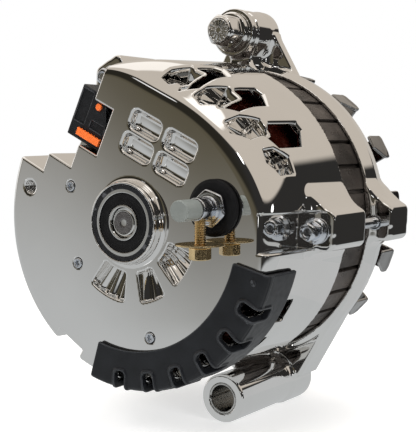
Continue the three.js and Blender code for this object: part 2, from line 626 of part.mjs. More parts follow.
[NEGATIVE, POSITIVE].forEach(({ start, diodes }, i) => {
  diodes.forEach((angle, j) => {
    const { x, z } = polar(HEAT_SINK.diodeCircle, angle);
    const can = spindle([[HEAT_SINK.diodeRadius, start - 0.5], [HEAT_SINK.diodeRadius, start + 6], [3.2, start + 8],
      [0.8, start + 9], [0.8, start + 14]], SMALL);
    piece(`diode_${i * 3 + j + 1}`, can.translate([x, 0, z]), steel);
  });
});
piece('capacitor', prism(roundedRectangle(-52, -24, 12, 18, 3), 8, 30), blackPlastic);

// ---------------------------------------------------------------- output terminal
function outputPost() {
  const stud = join(rod(POST, POST.radius, -20, 24), rod(POST, 6.6, POSITIVE.start + 5.3, 24));
  return stud.subtract(upright(POST.x, TERMINAL.y, TERMINAL.radius + GAP, POST.z - 18, POST.z + 2));
}
const postBore = rod(POST, POST.bore, -30, 30);
piece('output_post', outputPost(), steel);
piece('post_insulator', join(rod(POST, 13.5, -3.4, -GAP, ROUND), rod(POST, 7, -1, POSITIVE.start - GAP))
  .subtract(postBore), blackRubber);
piece('post_flange', prism(hexagon(POST, 16.5, 12), -6.4, -3.7).subtract(postBore), steel);
piece('post_cap', rod(POST, 5.6, POST.end, -17.2).subtract(rod(POST, POST.bore, POST.end + 2, 0)), greyPlastic);

function terminalBolt() {
  const seat = POST.z - TERMINAL.head;
  const shank = upright(POST.x, TERMINAL.y, TERMINAL.radius, seat - 1, seat + 15);
  return join(shank, upright(POST.x, TERMINAL.y, 5.2, seat - 6.2, seat - 0.6, 6));
}
piece('terminal_bolt', terminalBolt(), brass);
const washerTop = POST.z - TERMINAL.washer + 0.4;
piece('terminal_washer', upright(POST.x, TERMINAL.y, TERMINAL.washerRadius, washerTop - 0.8, washerTop)
  .subtract(upright(POST.x, TERMINAL.y, TERMINAL.radius + GAP, -30, 30)), brass);

// ---------------------------------------------------------------- baffle
function baffle() {
  const { from, to, inner, outer, band, skin, proud } = BAFFLE;
  const shell = turned([[inner, -proud], [outer - 1.6, -proud], [outer, -1], [outer, band], [outer - skin, band],
    [outer - skin, -GAP], [inner, -GAP]], DRUM_SEGMENTS);
  return cut(shell.intersect(wedge(from, to, -10, 40)), baffleSlots(BAFFLE_SLOTS.half, -10, BAFFLE_SLOTS.depth, 71));
}
piece('baffle', baffle(), blackPlastic);

// ---------------------------------------------------------------- fasteners
BOLT_ANGLES.forEach((angle, i) => {
  const place = polar(BOLT.circle, angle);
  const flange = rod(place, 6.8, BOLT.seat - 2.2, BOLT.seat - GAP);
  const head = prism(hexagon(place, BOLT.head), BOLT.seat - 9, BOLT.seat - 1);
  piece(`through_bolt_${i + 1}`, join(flange, head, rod(place, BOLT.shank, BOLT.seat - 1, BOLT.end, SMALL)), steel);
});
FACE_SCREWS.places.forEach(([x, z], i) => {
  piece(`face_screw_${i + 1}`, rod({ x, z }, FACE_SCREWS.radius, -0.4, 7.5, SMALL), steel);
});

function earBolt() {
  const flange = rod(EAR, EAR_BOLT.flange, EAR.start - 3.4, EAR.start - GAP, ROUND);
  const head = prism(hexagon(EAR, EAR_BOLT.head, 15), EAR_BOLT.start, EAR.start - 2);
  return join(flange, head, rod(EAR, EAR_BOLT.shank, EAR.start - 2, EAR_BOLT.end));
}
piece('ear_bolt', earBolt(), chrome);

export default alternator;
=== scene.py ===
"""Car alternator, seen from behind and to the right: chrome castings, black baffle, stator, fan and fittings.

Shapes are worked in millimetres in "shaft" coordinates: the shaft lies along +Y, the rear face of the
housing is the plane y = 0 and +Z is up. They move to the frame's metres as each mesh is made.
"""
import json
import math

import bmesh
import bpy
import numpy as np
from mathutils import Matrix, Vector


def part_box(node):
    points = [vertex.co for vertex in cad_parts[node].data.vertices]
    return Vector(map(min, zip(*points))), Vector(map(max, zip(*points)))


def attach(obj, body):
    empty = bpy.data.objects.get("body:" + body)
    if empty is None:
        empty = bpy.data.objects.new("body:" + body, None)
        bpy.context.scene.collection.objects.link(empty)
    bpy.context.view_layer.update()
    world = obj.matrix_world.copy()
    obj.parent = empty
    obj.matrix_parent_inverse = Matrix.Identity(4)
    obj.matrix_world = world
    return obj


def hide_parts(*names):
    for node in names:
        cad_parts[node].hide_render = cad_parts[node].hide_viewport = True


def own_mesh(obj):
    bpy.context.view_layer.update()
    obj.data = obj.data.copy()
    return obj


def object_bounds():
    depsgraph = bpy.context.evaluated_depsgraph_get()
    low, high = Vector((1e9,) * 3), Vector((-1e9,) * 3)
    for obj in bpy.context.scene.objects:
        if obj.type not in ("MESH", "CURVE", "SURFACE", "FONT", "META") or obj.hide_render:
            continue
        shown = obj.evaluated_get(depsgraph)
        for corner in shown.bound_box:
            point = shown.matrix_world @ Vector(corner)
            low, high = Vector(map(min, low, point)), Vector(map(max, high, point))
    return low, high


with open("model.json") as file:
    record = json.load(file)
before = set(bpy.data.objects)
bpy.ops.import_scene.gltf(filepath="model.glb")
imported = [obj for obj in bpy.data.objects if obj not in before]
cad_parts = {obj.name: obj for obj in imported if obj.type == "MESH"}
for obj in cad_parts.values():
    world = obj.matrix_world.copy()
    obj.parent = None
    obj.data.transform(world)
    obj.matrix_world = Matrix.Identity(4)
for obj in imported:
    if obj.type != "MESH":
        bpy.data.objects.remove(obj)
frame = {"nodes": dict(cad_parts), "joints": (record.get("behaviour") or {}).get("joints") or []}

import openvdb
from mathutils import Matrix, Vector

cad_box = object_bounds()

# ---------------------------------------------------------------- driving dimensions, mm
HUB_START = -6.4                    # rear end of the bearing hub, the housing's lowest y
SHAFT = next(j for j in frame["joints"] if j["name"] == "rotor_spin")["pos_m"]
REAR_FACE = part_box("rear_housing")[0][1] - HUB_START / 1000
ORIGIN = np.array([SHAFT[0], REAR_FACE, SHAFT[2]])      # the shaft axis at the rear face, in the frame

CASE = dict(rim=80.0, rim_y=3.0, open=83.0, depth=71.0, wall=4.0)
SHOULDER = dict(x=-17.0, z=-28.0, radius=98.0)
STEP_TILT = -25.5
STEPS = ((-62.5, -2.4, 90), (-46.2, 7.8, 90), (-33.4, 20.5, 45))
STEP_DEPTH = 46
VENT = dict(u=-0.4, v=40.7, pitch_u=22.7, pitch_v=12.3, half_u=9.75, half_v=5.15, depth=4.6)
WHEEL = dict(inner=24.8, outer=40.5, sectors=((-129, -95), (-81, -58), (-48.5, -20)))
# angle of each shoulder window and scoop, and how far it lies along the shaft from its outline's place
SIDE_VENTS = ((32.3, 9), (49.8, 0), (67.3, -4))
SCOOPS = ((22.7, 6.5), (38.0, 0), (55.5, 0), (72.8, 0))
LOWER_VENTS = (-31.5, -48.8, -66.0, -83.0)
FACE_SCREWS = ((-38.2, 16.9), (-33.7, -22.4), (12.3, -56.3))
FACE_SCREW_HOLE = 2.9
TAPPED_HOLE = dict(x=-66.5, z=15.8, radius=3.7, boss=6.6, depth=12, pitch=1.25)
STATOR = dict(radius=79.0, inner=56.5, start=66.4, end=106.6, slots=36)
DRIVE = dict(start=102.0, face=124.0, seat=20.3, seat_start=123.7, bore=14.0, openings=8)
FOOT = dict(x=22.0, z=-95.4, radius=12.9, bore=7.0, sleeve=8.1, start=50.0)
EAR = dict(x=-0.6, z=101.0, radius=13.3, hole=5.4, start=95.0, plate=118.0, rib=7.0)
BOLT = dict(circle=84.0, seat=36.0, half=9.6, out=94.0, angles=(-2, 118, 238), hole=3.4)
TROUGH = dict(half=8.6, floor=74.0)
HUB = dict(rim=20.3, base=24.0, sleeve=18.6, bore=9.6)
POST = dict(x=50.5, z=8.8, bore=4.5, opening=7.4)
BAFFLE = dict(start=-107, end=-14.5, inner=63.7, outer=83.4, band=24.0)
BAFFLE_SLOTS = tuple(-28.5 - 13 * i for i in range(6))
FAN = dict(blades=15, first=4.0, arm=6.5)
TERMINAL = dict(y=-12.5, radius=2.8, head=17.0)
SPRING = dict(low=27.3, high=37.0, wire=0.33, turns=7)
PULLEY = dict(start=150.1, pitch=3.56, grooves=6, rim=32, crest=30, root=27.2)
# where each diode starts along the shaft, and its angle on the circle they stand on
DIODES = ((8, -128), (8, -104), (8, -80), (16, -52), (16, -28), (16, 34))
DIODES_CIRCLE = 50
VIEW = dict(azimuth=33.85, elevation=4.01, right=38.6, up=3.04, back=504.48, lens=85.42)
SCOOP_FLOOR = 66.5                  # how far out the floors of the scoops lie
COARSE = 0.6                        # voxel of the big castings


def to_frame(points):
    """Shaft coordinates in millimetres to the frame's metres."""
    return np.asarray(points, float) / 1000 + ORIGIN


# ---------------------------------------------------------------- distance fields
# A field takes an (n, 3) array of points and gives each one's signed distance, negative inside.
def polar(radius, angle):
    return radius * math.cos(math.radians(angle)), radius * math.sin(math.radians(angle))


def turn(a, b, angle):
    """Coordinates a, b read in axes turned by angle."""
    c, s = math.cos(math.radians(angle)), math.sin(math.radians(angle))
    return a * c + b * s, b * c - a * s


def meet(a, b, r=0.0):
    """Intersection of two fields, its edge rounded to radius r."""
    if r <= 0:
        return np.maximum(a, b)
    return np.minimum(-r, np.maximum(a, b)) + np.hypot(np.maximum(a + r, 0), np.maximum(b + r, 0))


def fuse(a, b, r=0.0):
    """Union of two fields, its inner corner filled to radius r."""
    return -meet(-a, -b, r)


def ease(a, b, width):
    """Intersection of two fields with a wide, gentle rounding, for surfaces that meet at a shallow angle."""
    blend = np.maximum(width - np.abs(a - b), 0) / width
    return np.maximum(a, b) + blend * blend * width / 4


def off_axis(p, x=0.0, z=0.0):
    """How far points lie from an axis at (x, z) parallel to the shaft."""
    return np.hypot(p[:, 0] - x, p[:, 2] - z)


def round_shaft(p):
    """How far points lie from the shaft, and their angle round it in degrees."""
    return off_axis(p), np.degrees(np.arctan2(p[:, 2], p[:, 0]))


def apart(angle, middle):
    """How far an angle lies from another, between -180 and 180 degrees."""
    return (angle - middle + 180) % 360 - 180


def tilted(p):
    """Points in the axes of the stepped corner, which lean by STEP_TILT."""
    return turn(p[:, 0], p[:, 2], STEP_TILT)


def slab(t, low, high):
    return np.abs(t - (low + high) / 2) - (high - low) / 2


def rectangle(u, v, half_u, half_v, corner=0.0):
    a, b = np.abs(u) - half_u + corner, np.abs(v) - half_v + corner
    return np.hypot(np.maximum(a, 0), np.maximum(b, 0)) + np.minimum(np.maximum(a, b), 0) - corner


def polygon(u, v, points):
    """Exact distance to a closed outline of (u, v) points."""
    best = np.full(u.shape, 1e9)
    inside = np.zeros(u.shape, bool)
    for (u0, v0), (u1, v1) in zip(points, points[1:] + points[:1]):
        du, dv = u1 - u0, v1 - v0
        wu, wv = u - u0, v - v0
        t = np.clip((wu * du + wv * dv) / (du * du + dv * dv), 0, 1)
        best = np.minimum(best, (wu - t * du) ** 2 + (wv - t * dv) ** 2)
        if dv:
            crosses = (v0 > v) != (v1 > v)
            inside ^= crosses & (wu < wv * du / dv)
    distance = np.sqrt(best)
    return np.where(inside, -distance, distance)


def hexagon(u, v, flats, lean=0):
    """A hexagon's outline, flats wide across its flats."""
    ways = [math.radians(lean + i * 60) for i in range(3)]
    return np.max([np.abs(u * math.cos(w) + v * math.sin(w)) for w in ways], axis=0) - flats / 2


def sector(r, angle, inner, outer, start, end):
    """A ring sector's outline; r and angle are each point's polar coordinates in degrees."""
    mid, half = (start + end) / 2, math.radians((end - start) / 2)
    off = np.abs(np.radians(apart(angle, mid)))
    side = r * np.sin(np.clip(off - half, -math.pi / 2, math.pi / 2))
    return meet(meet(r - outer, inner - r, 1.5), side, 1.5)


def near(p, low, high, margin=6.0):
    """Which points lie in a box; a carve or a weld only works on those."""
    return np.all((p > np.array(low) - margin) & (p < np.array(high) + margin), axis=1)


def carve(d, where, tool, r):
    d[where] = meet(d[where], -tool, r)


def weld(d, where, tool, r):
    d[where] = fuse(d[where], tool, r)


def around(p, x, z, reach, y0, y1):
    return near(p, (x - reach, y0, z - reach), (x + reach, y1, z + reach))


def bore(d, p, x, z, reach, y0, y1, radius, edge):
    """Carves a round hole parallel to the shaft; only points within reach of its axis are worked on."""
    where = around(p, x, z, reach, y0, y1)
    carve(d, where, off_axis(p[where], x, z) - radius, edge)


def facing(p, angle, r0, r1, half, y0, y1, margin=6.0):
    """Points near a box that stands out from the shaft at an angle, and their (out, side, y) there."""
    out, side = turn(p[:, 0], p[:, 2], angle)
    where = (out > r0 - margin) & (out < r1 + margin) & (np.abs(side) < half + margin)
    where &= (p[:, 1] > y0 - margin) & (p[:, 1] < y1 + margin)
    return where, out[where], side[where], p[where, 1]


# ---------------------------------------------------------------- shapes
# A shape is (points, faces, normals); a zero normal leaves the shading to Blender.
BLOCK = 8


def sample(field, low, high, voxel):
    """The field on a grid; blocks whose centre is far from the surface only get its sign."""
    blocks = np.ceil((high - low) / (voxel * BLOCK)).astype(int)
    index = np.stack(np.meshgrid(*[np.arange(n) for n in blocks], indexing="ij"), -1).reshape(-1, 3)
    corner = low + index * BLOCK * voxel
    coarse = field(corner + (BLOCK - 1) * voxel / 2)
    reach = BLOCK * voxel * math.sqrt(3) / 2 + 2 * voxel
    cells = np.repeat(coarse[:, None].astype(np.float32), BLOCK ** 3, 1)
    step = np.stack(np.meshgrid(*[np.arange(BLOCK)] * 3, indexing="ij"), -1).reshape(-1, 3) * voxel
    active = np.flatnonzero(np.abs(coarse) < reach)
    for chunk in np.array_split(active, max(1, len(active) // 400)):
        points = (corner[chunk][:, None] + step[None]).reshape(-1, 3)
        cells[chunk] = field(points).reshape(len(chunk), -1)
    bx, by, bz = blocks
    grid = cells.reshape(bx, by, bz, BLOCK, BLOCK, BLOCK).transpose(0, 3, 1, 4, 2, 5)
    return np.clip(grid.reshape(bx * BLOCK, by * BLOCK, bz * BLOCK), -3 * voxel, 3 * voxel)


def slope(field, points, step=0.03):
    """The field's gradient, from four samples round each point."""
    total = np.zeros_like(points)
    for corner in ((1, 1, 1), (1, -1, -1), (-1, 1, -1), (-1, -1, 1)):
        way = np.array(corner, float)
        total += way * field(points + way * step)[:, None]
    return total / np.maximum(np.linalg.norm(total, axis=1, keepdims=True), 1e-9)


def carved(field, low, high, voxel):
    """The surface of a field, with points and shading normals taken from the field itself."""
    low, high = np.array(low, float) - 3 * voxel, np.array(high, float) + 3 * voxel
    grid = openvdb.FloatGrid(3 * voxel)
    grid.copyFromArray(sample(field, low, high, voxel))
    points, triangles, quads = grid.convertToPolygons(0.0, 0.0)
    points = points.astype(float) * voxel + low
    for _ in range(2):
        distance = np.clip(field(points), -voxel, voxel)
        points -= slope(field, points) * distance[:, None]
    faces = triangles.tolist() + quads.tolist()
    return outward(points, faces, slope(field, points))


def carved_round(field, x, z, reach, y0, y1, voxel):
    """The surface of a field that lies within reach of an axis at (x, z)."""
    return carved(field, (x - reach, y0, z - reach), (x + reach, y1, z + reach), voxel)


def outward(points, faces, normals=None):
    """A shape with its faces turned to point out."""
    points = np.asarray(points, float)
    first = np.array([face[:3] for face in faces])
    across = np.cross(points[first[:, 1]] - points[first[:, 0]], points[first[:, 2]] - points[first[:, 0]])
    if normals is None:
        normals = np.zeros_like(points)
        middle = points[first].mean(axis=1) - points.mean(axis=0)
        facing_out = np.sum(across * middle)
    else:
        facing_out = np.sum(across * normals[first[:, 0]])
    if facing_out < 0:
        faces = [face[::-1] for face in faces]
    return points, faces, normals


def together(*shapes):
    """Several shapes as one."""
    points, faces, normals, offset = [], [], [], 0
    for some_points, some_faces, some_normals in shapes:
        points.append(some_points)
        normals.append(some_normals)
        faces += [[i + offset for i in face] for face in some_faces]
        offset += len(some_points)
    return np.concatenate(points), faces, np.concatenate(normals)


def rounded(profile, radius, closed=False):
    """A profile of (r, y) points with its corners rounded, as (r, y, normal r, normal y)."""
    points = [np.array(p, float) for p in profile]
    count = len(points)
    out = []
    for i, point in enumerate(points):
        if not closed and i in (0, count - 1):
            way = points[1] - points[0] if i == 0 else points[-1] - points[-2]
            way /= np.linalg.norm(way)
            out.append((*point, way[1], -way[0]))
            continue
        back, ahead = points[i - 1] - point, points[(i + 1) % count] - point
        long_back, long_ahead = np.linalg.norm(back), np.linalg.norm(ahead)
        reach = min(radius, long_back * 0.49, long_ahead * 0.49)
        start, end = point + back / long_back * reach, point + ahead / long_ahead * reach
        for t in (0, 0.25, 0.5, 0.75, 1):
            place = (1 - t) ** 2 * start + 2 * t * (1 - t) * point + t * t * end
            way = (1 - t) * (point - start) + t * (end - point)
            way /= np.linalg.norm(way)
            out.append((*place, way[1], -way[0]))
    return out


def revolved(profile, radius=0.4, x=0.0, z=0.0, segments=96, closed=False, wobble=None, upright=None):
    """A round shape about an axis at (x, z) parallel to the shaft, or vertical at (x, y) = upright.

    wobble(r, along, angle) gives the radius actually used, for threads, knurls and wire ripples.
    """
    rows = rounded(profile, radius, closed)
    angles = np.linspace(0, 2 * math.pi, segments, endpoint=False)
    points, normals, starts = [], [], []
    for r, along, normal_r, normal_y in rows:
        starts.append((len(points), r < 1e-6))
        for angle in angles[:1] if r < 1e-6 else angles:
            real = wobble(r, along, angle) if wobble else r
            points.append((real * math.cos(angle), along, real * math.sin(angle)))
            normals.append((normal_r * math.cos(angle), normal_y, normal_r * math.sin(angle)))
    faces = []
    pairs = list(zip(starts, starts[1:])) + ([(starts[-1], starts[0])] if closed else [])
    for (a, a_tip), (b, b_tip) in pairs:
        for i in range(segments):
            j = (i + 1) % segments
            if a_tip and b_tip:
                continue
            if a_tip:
                faces.append([a, b + i, b + j])
            elif b_tip:
                faces.append([a + i, b, a + j])
            else:
                faces.append([a + i, b + i, b + j, a + j])
    points, normals = np.array(points), np.array(normals)
    if upright:
        points = np.stack([points[:, 0] + upright[0], upright[1] + points[:, 2], points[:, 1]], -1)
        normals = np.stack([normals[:, 0], normals[:, 2], normals[:, 1]], -1)
    else:
        points += (x, 0, z)
    if signed_area(rows, closed) < 0:
        normals = -normals
    return outward(points, faces, normals if wobble is None else None)


def signed_area(rows, closed):
    """Positive where a profile runs so that its normals, as rounded() makes them, point out."""
    loop = [(r, y) for r, y, _, _ in rows]
    if not closed:
        loop = [(0.0, loop[0][1])] + loop + [(0.0, loop[-1][1])]
    return sum(a[0] * b[1] - b[0] * a[1] for a, b in zip(loop, loop[1:] + loop[:1]))


def thread(radius, y0, y1, pitch, depth):
    """A wobble that cuts a screw thread into the part of a rod between y0 and y1."""
    def cut(r, along, angle):
        if not y0 < along < y1 or r < radius * 0.9:
            return r
        fade = min(1, (along - y0) / pitch, (y1 - along) / pitch)
        return r - depth * fade * (0.5 - 0.5 * math.cos(2 * math.pi * along / pitch - angle))
    return cut


def plain_ring(inner, outer, y0, y1):
    """The profile of a washer or a plain ring."""
    return [(inner, y0), (outer, y0), (outer, y1), (inner, y1)]


def along_thread(radius, y0, y1, pitch, steps=8):
    """Profile points close enough together for a thread."""
    count = int((y1 - y0) / pitch * steps)
    return [(radius, y0 + (y1 - y0) * i / count) for i in range(count + 1)]


def tube(path, radius, sides=12):
    """A round wire along a path, closed by flat ends."""
    path = np.asarray(path, float)
    ways = np.gradient(path, axis=0)
    ways /= np.linalg.norm(ways, axis=1, keepdims=True)
    across = np.cross(ways, (0.31, 0.27, 0.91))
    across /= np.linalg.norm(across, axis=1, keepdims=True)
    other = np.cross(ways, across)
    turns = np.linspace(0, 2 * math.pi, sides, endpoint=False)
    points = [p + radius * (math.cos(t) * a + math.sin(t) * b)
              for p, a, b in zip(path, across, other) for t in turns]
    faces = []
    for i in range(len(path) - 1):
        for k in range(sides):
            j = (k + 1) % sides
            faces.append([i * sides + k, i * sides + j, (i + 1) * sides + j, (i + 1) * sides + k])
    faces.append(list(range(sides))[::-1])
    faces.append(list(range((len(path) - 1) * sides, len(path) * sides)))
    return np.array(points), faces, np.zeros((len(points), 3))


def copied(node, bevel, angle=32):
    """A CAD node's faceted solid as a shape of its own, its edges bevelled."""
    mesh = bmesh.new()
    mesh.from_mesh(frame["nodes"][node].data)
    bmesh.ops.remove_doubles(mesh, verts=mesh.verts, dist=2e-6)
    bmesh.ops.dissolve_limit(mesh, angle_limit=math.radians(1), verts=mesh.verts, edges=mesh.edges)
    edges = [e for e in mesh.edges if len(e.link_faces) == 2 and e.calc_face_angle() > math.radians(angle)]
    bmesh.ops.bevel(mesh, geom=edges, offset=bevel / 1000, segments=3, profile=0.5, affect="EDGES",
                    clamp_overlap=True)
    bmesh.ops.triangulate(mesh, faces=[f for f in mesh.faces if len(f.verts) > 4])
    mesh.verts.index_update()
    points = (np.array([v.co for v in mesh.verts]) - ORIGIN) * 1000
    faces = [[v.index for v in f.verts] for f in mesh.faces]
    mesh.free()
    return points, faces, np.zeros((len(points), 3))


def placed(name, data):
    """A new object in the scene."""
    made = bpy.data.objects.new(name, data)
    bpy.context.scene.collection.objects.link(made)
    return made


def piece(name, shape, made, slot, *nodes, body="root", crease=40):
    """A Blender object from a shape: it gets its material and body, and stands for CAD nodes."""
    points, faces, normals = shape
    mesh = bpy.data.meshes.new(name)
    mesh.from_pydata(to_frame(points).tolist(), [], faces)
    mesh.shade_smooth()
    if np.any(normals):
        mesh.normals_split_custom_set_from_vertices(normals.tolist())
    else:
        mesh.set_sharp_from_angle(angle=math.radians(crease))
    mesh.validate()
    mesh.update()
    mesh.materials.append(made)
    made_piece = placed(name, mesh)
    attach(made_piece, body)
    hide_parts(*nodes)
    return made_piece


# ---------------------------------------------------------------- materials
class Nodes:
    """Short calls for the node tree of a material or the world."""
    def __init__(self, owner):
        owner.use_nodes = True
        self.nodes, self.links = owner.node_tree.nodes, owner.node_tree.links

    def put(self, socket, value):
        """Sets a socket to a number, vector or colour, or links it to another socket."""
        if isinstance(value, (int, float)):
            socket.default_value = value
        elif isinstance(value, tuple):
            socket.default_value = (*value, 1) if len(socket.default_value) == 4 else value
        else:
            self.links.new(value, socket)

    def new(self, kind, inputs=None, **settings):
        node = self.nodes.new("ShaderNode" + kind)
        for key, value in settings.items():
            setattr(node, key, value)
        for key, value in (inputs or {}).items():
            self.put(node.inputs[key], value)
        return node

    def maths(self, operation, a, b=0.0):
        return self.new("Math", {0: a, 1: b}, operation=operation).outputs[0]

    def dot(self, vector, way):
        way = tuple(Vector(way).normalized())
        return self.new("VectorMath", {0: vector, 1: way}, operation="DOT_PRODUCT").outputs["Value"]

    def ramp(self, value, low, high, start=0.0, end=1.0, easing="LINEAR"):
        """A value from low to high, moved to one from start to end."""
        inputs = {"Value": value, "From Min": low, "From Max": high, "To Min": start, "To Max": end}
        return self.new("MapRange", inputs, interpolation_type=easing).outputs["Result"]

    def smooth(self, *values):
        return self.ramp(*values, easing="SMOOTHSTEP")

    def mix(self, factor, a, b, way="MIX"):
        inputs = {"Factor": factor, "A": a, "B": b}
        return self.new("Mix", inputs, data_type="RGBA", blend_type=way).outputs["Result"]


def shade(name, colour, metallic, roughness, grain=60.0, stretch=(1, 1, 1), tint=0.06, spread=0.06,
          bump=0.02, bump_grain=None, gloss=0.5, edge_wear_and_highlight=None, edge_wear_and_highlight_range=(0.52, 0.56)):
    """A material whose colour, roughness and surface vary; bump is in millimetres, grain is per metre."""
    made = bpy.data.materials.new(name)
    maker = Nodes(made)
    shader = maker.nodes["Principled BSDF"]
    shader.inputs["Metallic"].default_value = metallic
    shader.inputs["Specular IOR Level"].default_value = gloss
    place = maker.new("TexCoord").outputs["Object"]
    place = maker.new("Mapping", {"Vector": place, "Scale": stretch}).outputs["Vector"]

    def noise(scale, detail):
        return maker.new("TexNoise", {"Vector": place, "Scale": scale, "Detail": detail}).outputs["Fac"]

    def scaled(amount):
        return tuple(min(1, c * amount) for c in colour)

    base = maker.mix(maker.ramp(noise(grain, 5), 0.3, 0.7), scaled(1 - tint), scaled(1 + tint))
    rough = maker.ramp(noise(grain * 2.7, 4), 0.3, 0.7, max(0.01, roughness - spread), roughness + spread)
    # Sharp edges take a lighter colour: real wear on the plastics and the brass, and a painted highlight
    # along the fan's rims.
    if edge_wear_and_highlight:
        edge = maker.ramp(maker.new("NewGeometry").outputs["Pointiness"], *edge_wear_and_highlight_range)
        base = maker.mix(edge, base, edge_wear_and_highlight)
    relief = maker.new("Bump", {"Strength": 1.0, "Distance": bump / 1000,
                                "Height": noise(bump_grain or grain * 4, 3)})
    maker.put(shader.inputs["Base Color"], base)
    maker.put(shader.inputs["Roughness"], rough)
    maker.put(shader.inputs["Normal"], relief.outputs["Normal"])
    return made


def banded(made, spacing, depth, dark):
    """Adds thin sheets stacked along the shaft: a bump, and a darker line between them; lengths are in mm."""
    maker = Nodes(made)
    shader = maker.nodes["Principled BSDF"]
    place = maker.new("TexCoord").outputs["Object"]
    scale = 1000 * math.pi / (10 * spacing)
    wave = maker.new("TexWave", {"Vector": place, "Scale": scale, "Distortion": 1.2, "Detail": 3},
                     bands_direction="Y").outputs["Fac"]
    old_colour, old_normal = (shader.inputs[key].links[0].from_socket for key in ("Base Color", "Normal"))
    lines = maker.ramp(wave, 0.0, 1.0, dark, 1.0)
    relief = maker.new("Bump", {"Distance": depth / 1000, "Height": wave, "Normal": old_normal})
    maker.put(shader.inputs["Base Color"], maker.mix(1, old_colour, lines, "MULTIPLY"))
    maker.put(shader.inputs["Normal"], relief.outputs["Normal"])
    return made


chrome = shade("chrome", (0.88, 0.87, 0.855), 1.0, 0.035, grain=30, tint=0.02, spread=0.02, bump_grain=26)
polished = shade("polished_steel", (0.80, 0.80, 0.79), 1.0, 0.10, grain=90, tint=0.04, spread=0.05, bump=0.01)
zinc = shade("zinc_plated_steel", (0.74, 0.77, 0.82), 1.0, 0.16, grain=160, tint=0.08, spread=0.07, bump=0.03)
ground = shade("ground_steel", (0.62, 0.61, 0.59), 1.0, 0.22, grain=240, stretch=(1, 6, 1), bump=0.01)
dark_end = shade("dark_steel", (0.20, 0.19, 0.19), 0.9, 0.33, grain=180, tint=0.18, spread=0.10, bump=0.03)
sheets = banded(shade("lamination", (0.105, 0.090, 0.080), 0.6, 0.36, grain=70, stretch=(1, 0.6, 1), tint=0.6,
                      spread=0.12, bump=0.05, bump_grain=900), 0.5, 0.10, 0.55)
rotor_iron = shade("rotor_iron", (0.10, 0.09, 0.085), 0.7, 0.48, grain=140, tint=0.3, spread=0.12, bump=0.05)
enamel = shade("enamelled_copper", (0.085, 0.012, 0.006), 0.5, 0.30, grain=130, tint=0.3, spread=0.1,
               bump=0.03)
slip = shade("slip_ring_copper", (0.72, 0.38, 0.22), 1.0, 0.22, grain=180, stretch=(1, 8, 1), tint=0.1,
             bump=0.01)
brass = shade("brass", (0.80, 0.60, 0.32), 1.0, 0.24, grain=200, tint=0.14, spread=0.1, bump=0.03,
              edge_wear_and_highlight=(0.90, 0.78, 0.54))
plate = shade("cast_aluminium", (0.55, 0.55, 0.55), 1.0, 0.38, grain=150, tint=0.08, spread=0.08, bump=0.06)
moulded = shade("black_plastic", (0.010, 0.0105, 0.012), 0.0, 0.42, gloss=0.3, grain=300, tint=0.25,
                spread=0.08, bump=0.03, bump_grain=1500, edge_wear_and_highlight=(0.06, 0.062, 0.068))
baffle_black = shade("satin_black", (0.009, 0.010, 0.012), 0.0, 0.36, gloss=0.3, grain=120, tint=0.2,
                     spread=0.07, bump=0.025, bump_grain=1300, edge_wear_and_highlight=(0.04, 0.043, 0.048))
rubber = shade("rubber", (0.006, 0.006, 0.0065), 0.0, 0.55, gloss=0.2, grain=260, tint=0.2, spread=0.08,
               bump=0.03)
grey_cap = shade("grey_plastic", (0.17, 0.185, 0.175), 0.0, 0.36, grain=170)
orange = shade("orange_plastic", (0.80, 0.155, 0.025), 0.0, 0.42, grain=260, tint=0.12, spread=0.07,
               bump=0.03)
carbon = shade("carbon", (0.03, 0.028, 0.027), 0.2, 0.6, grain=400, tint=0.25, spread=0.1, bump=0.05)
# The fan is chrome. Its colour is painted dark as a painted reflection of dark surroundings, and its sharp
# edges are painted light as a painted highlight on the rims.
fan_metal = shade("chrome_painted_dark", (0.30, 0.295, 0.29), 1.0, 0.16, grain=90, tint=0.15, spread=0.06, bump=0.02,
                  edge_wear_and_highlight=(0.75, 0.75, 0.74), edge_wear_and_highlight_range=(0.53, 0.60))


# ---------------------------------------------------------------- rear housing
def stepped_corner(p, grow=0.0):
    """The open corner beside the connector, as the union of three tilted boxes."""
    u, v = tilted(p)
    boxes = [np.maximum(u - right - grow, slab(v, low - grow, high + grow)) for right, low, high in STEPS]
    return fuse(fuse(boxes[0], boxes[1], 1.2), boxes[2], 1.2)


def drum_side(p, inset):
    """The drum's outer side with its sloping shoulder; inset moves it in, for the cavity."""
    grows = (CASE["open"] - CASE["rim"]) / (CASE["depth"] - CASE["rim_y"])
    drum = off_axis(p) - CASE["rim"] - (p[:, 1] - CASE["rim_y"]) * grows + inset
    u, v = turn(p[:, 0] - SHOULDER["x"], p[:, 2] - SHOULDER["z"], STEP_TILT)
    across = np.where(u > 0, np.hypot(u, v), v)
    cone = (across - SHOULDER["radius"] - p[:, 1]) * math.sqrt(0.5) + inset
    return ease(drum, cone, 9.0)


def casting_shell(p):
    outside = ease(drum_side(p, 0), -p[:, 1], 3.0)
    steps = np.maximum(stepped_corner(p), p[:, 1] - STEP_DEPTH)
    outside = meet(outside, -steps, 1.1)
    inside = meet(drum_side(p, 5.2), CASE["wall"] - p[:, 1], 3.0)
    inside = meet(inside, -np.maximum(stepped_corner(p, 3.2), p[:, 1] - STEP_DEPTH - 4), 2.0)
    for angle in BOLT["angles"]:
        out, side = turn(p[:, 0], p[:, 2], angle)
        floor = np.maximum(TROUGH["floor"] - 3 - out, np.abs(side) - 12)
        floor = np.maximum(floor, p[:, 1] - BOLT["seat"] - 3)
        inside = meet(inside, -floor, 2.0)
    return inside, np.maximum(outside, p[:, 1] - CASE["depth"])


def pocket_backs(p, r, angle):
    u, v = tilted(p)
    back = rectangle(u - VENT["u"], v - VENT["v"], 24, 14, 3)
    ring = sector(r, angle, HUB["base"] - 2, WHEEL["outer"] + 2.5, -132, -17)
    return np.maximum(np.minimum(back, ring), slab(p[:, 1], CASE["wall"] - 1, 10.9))


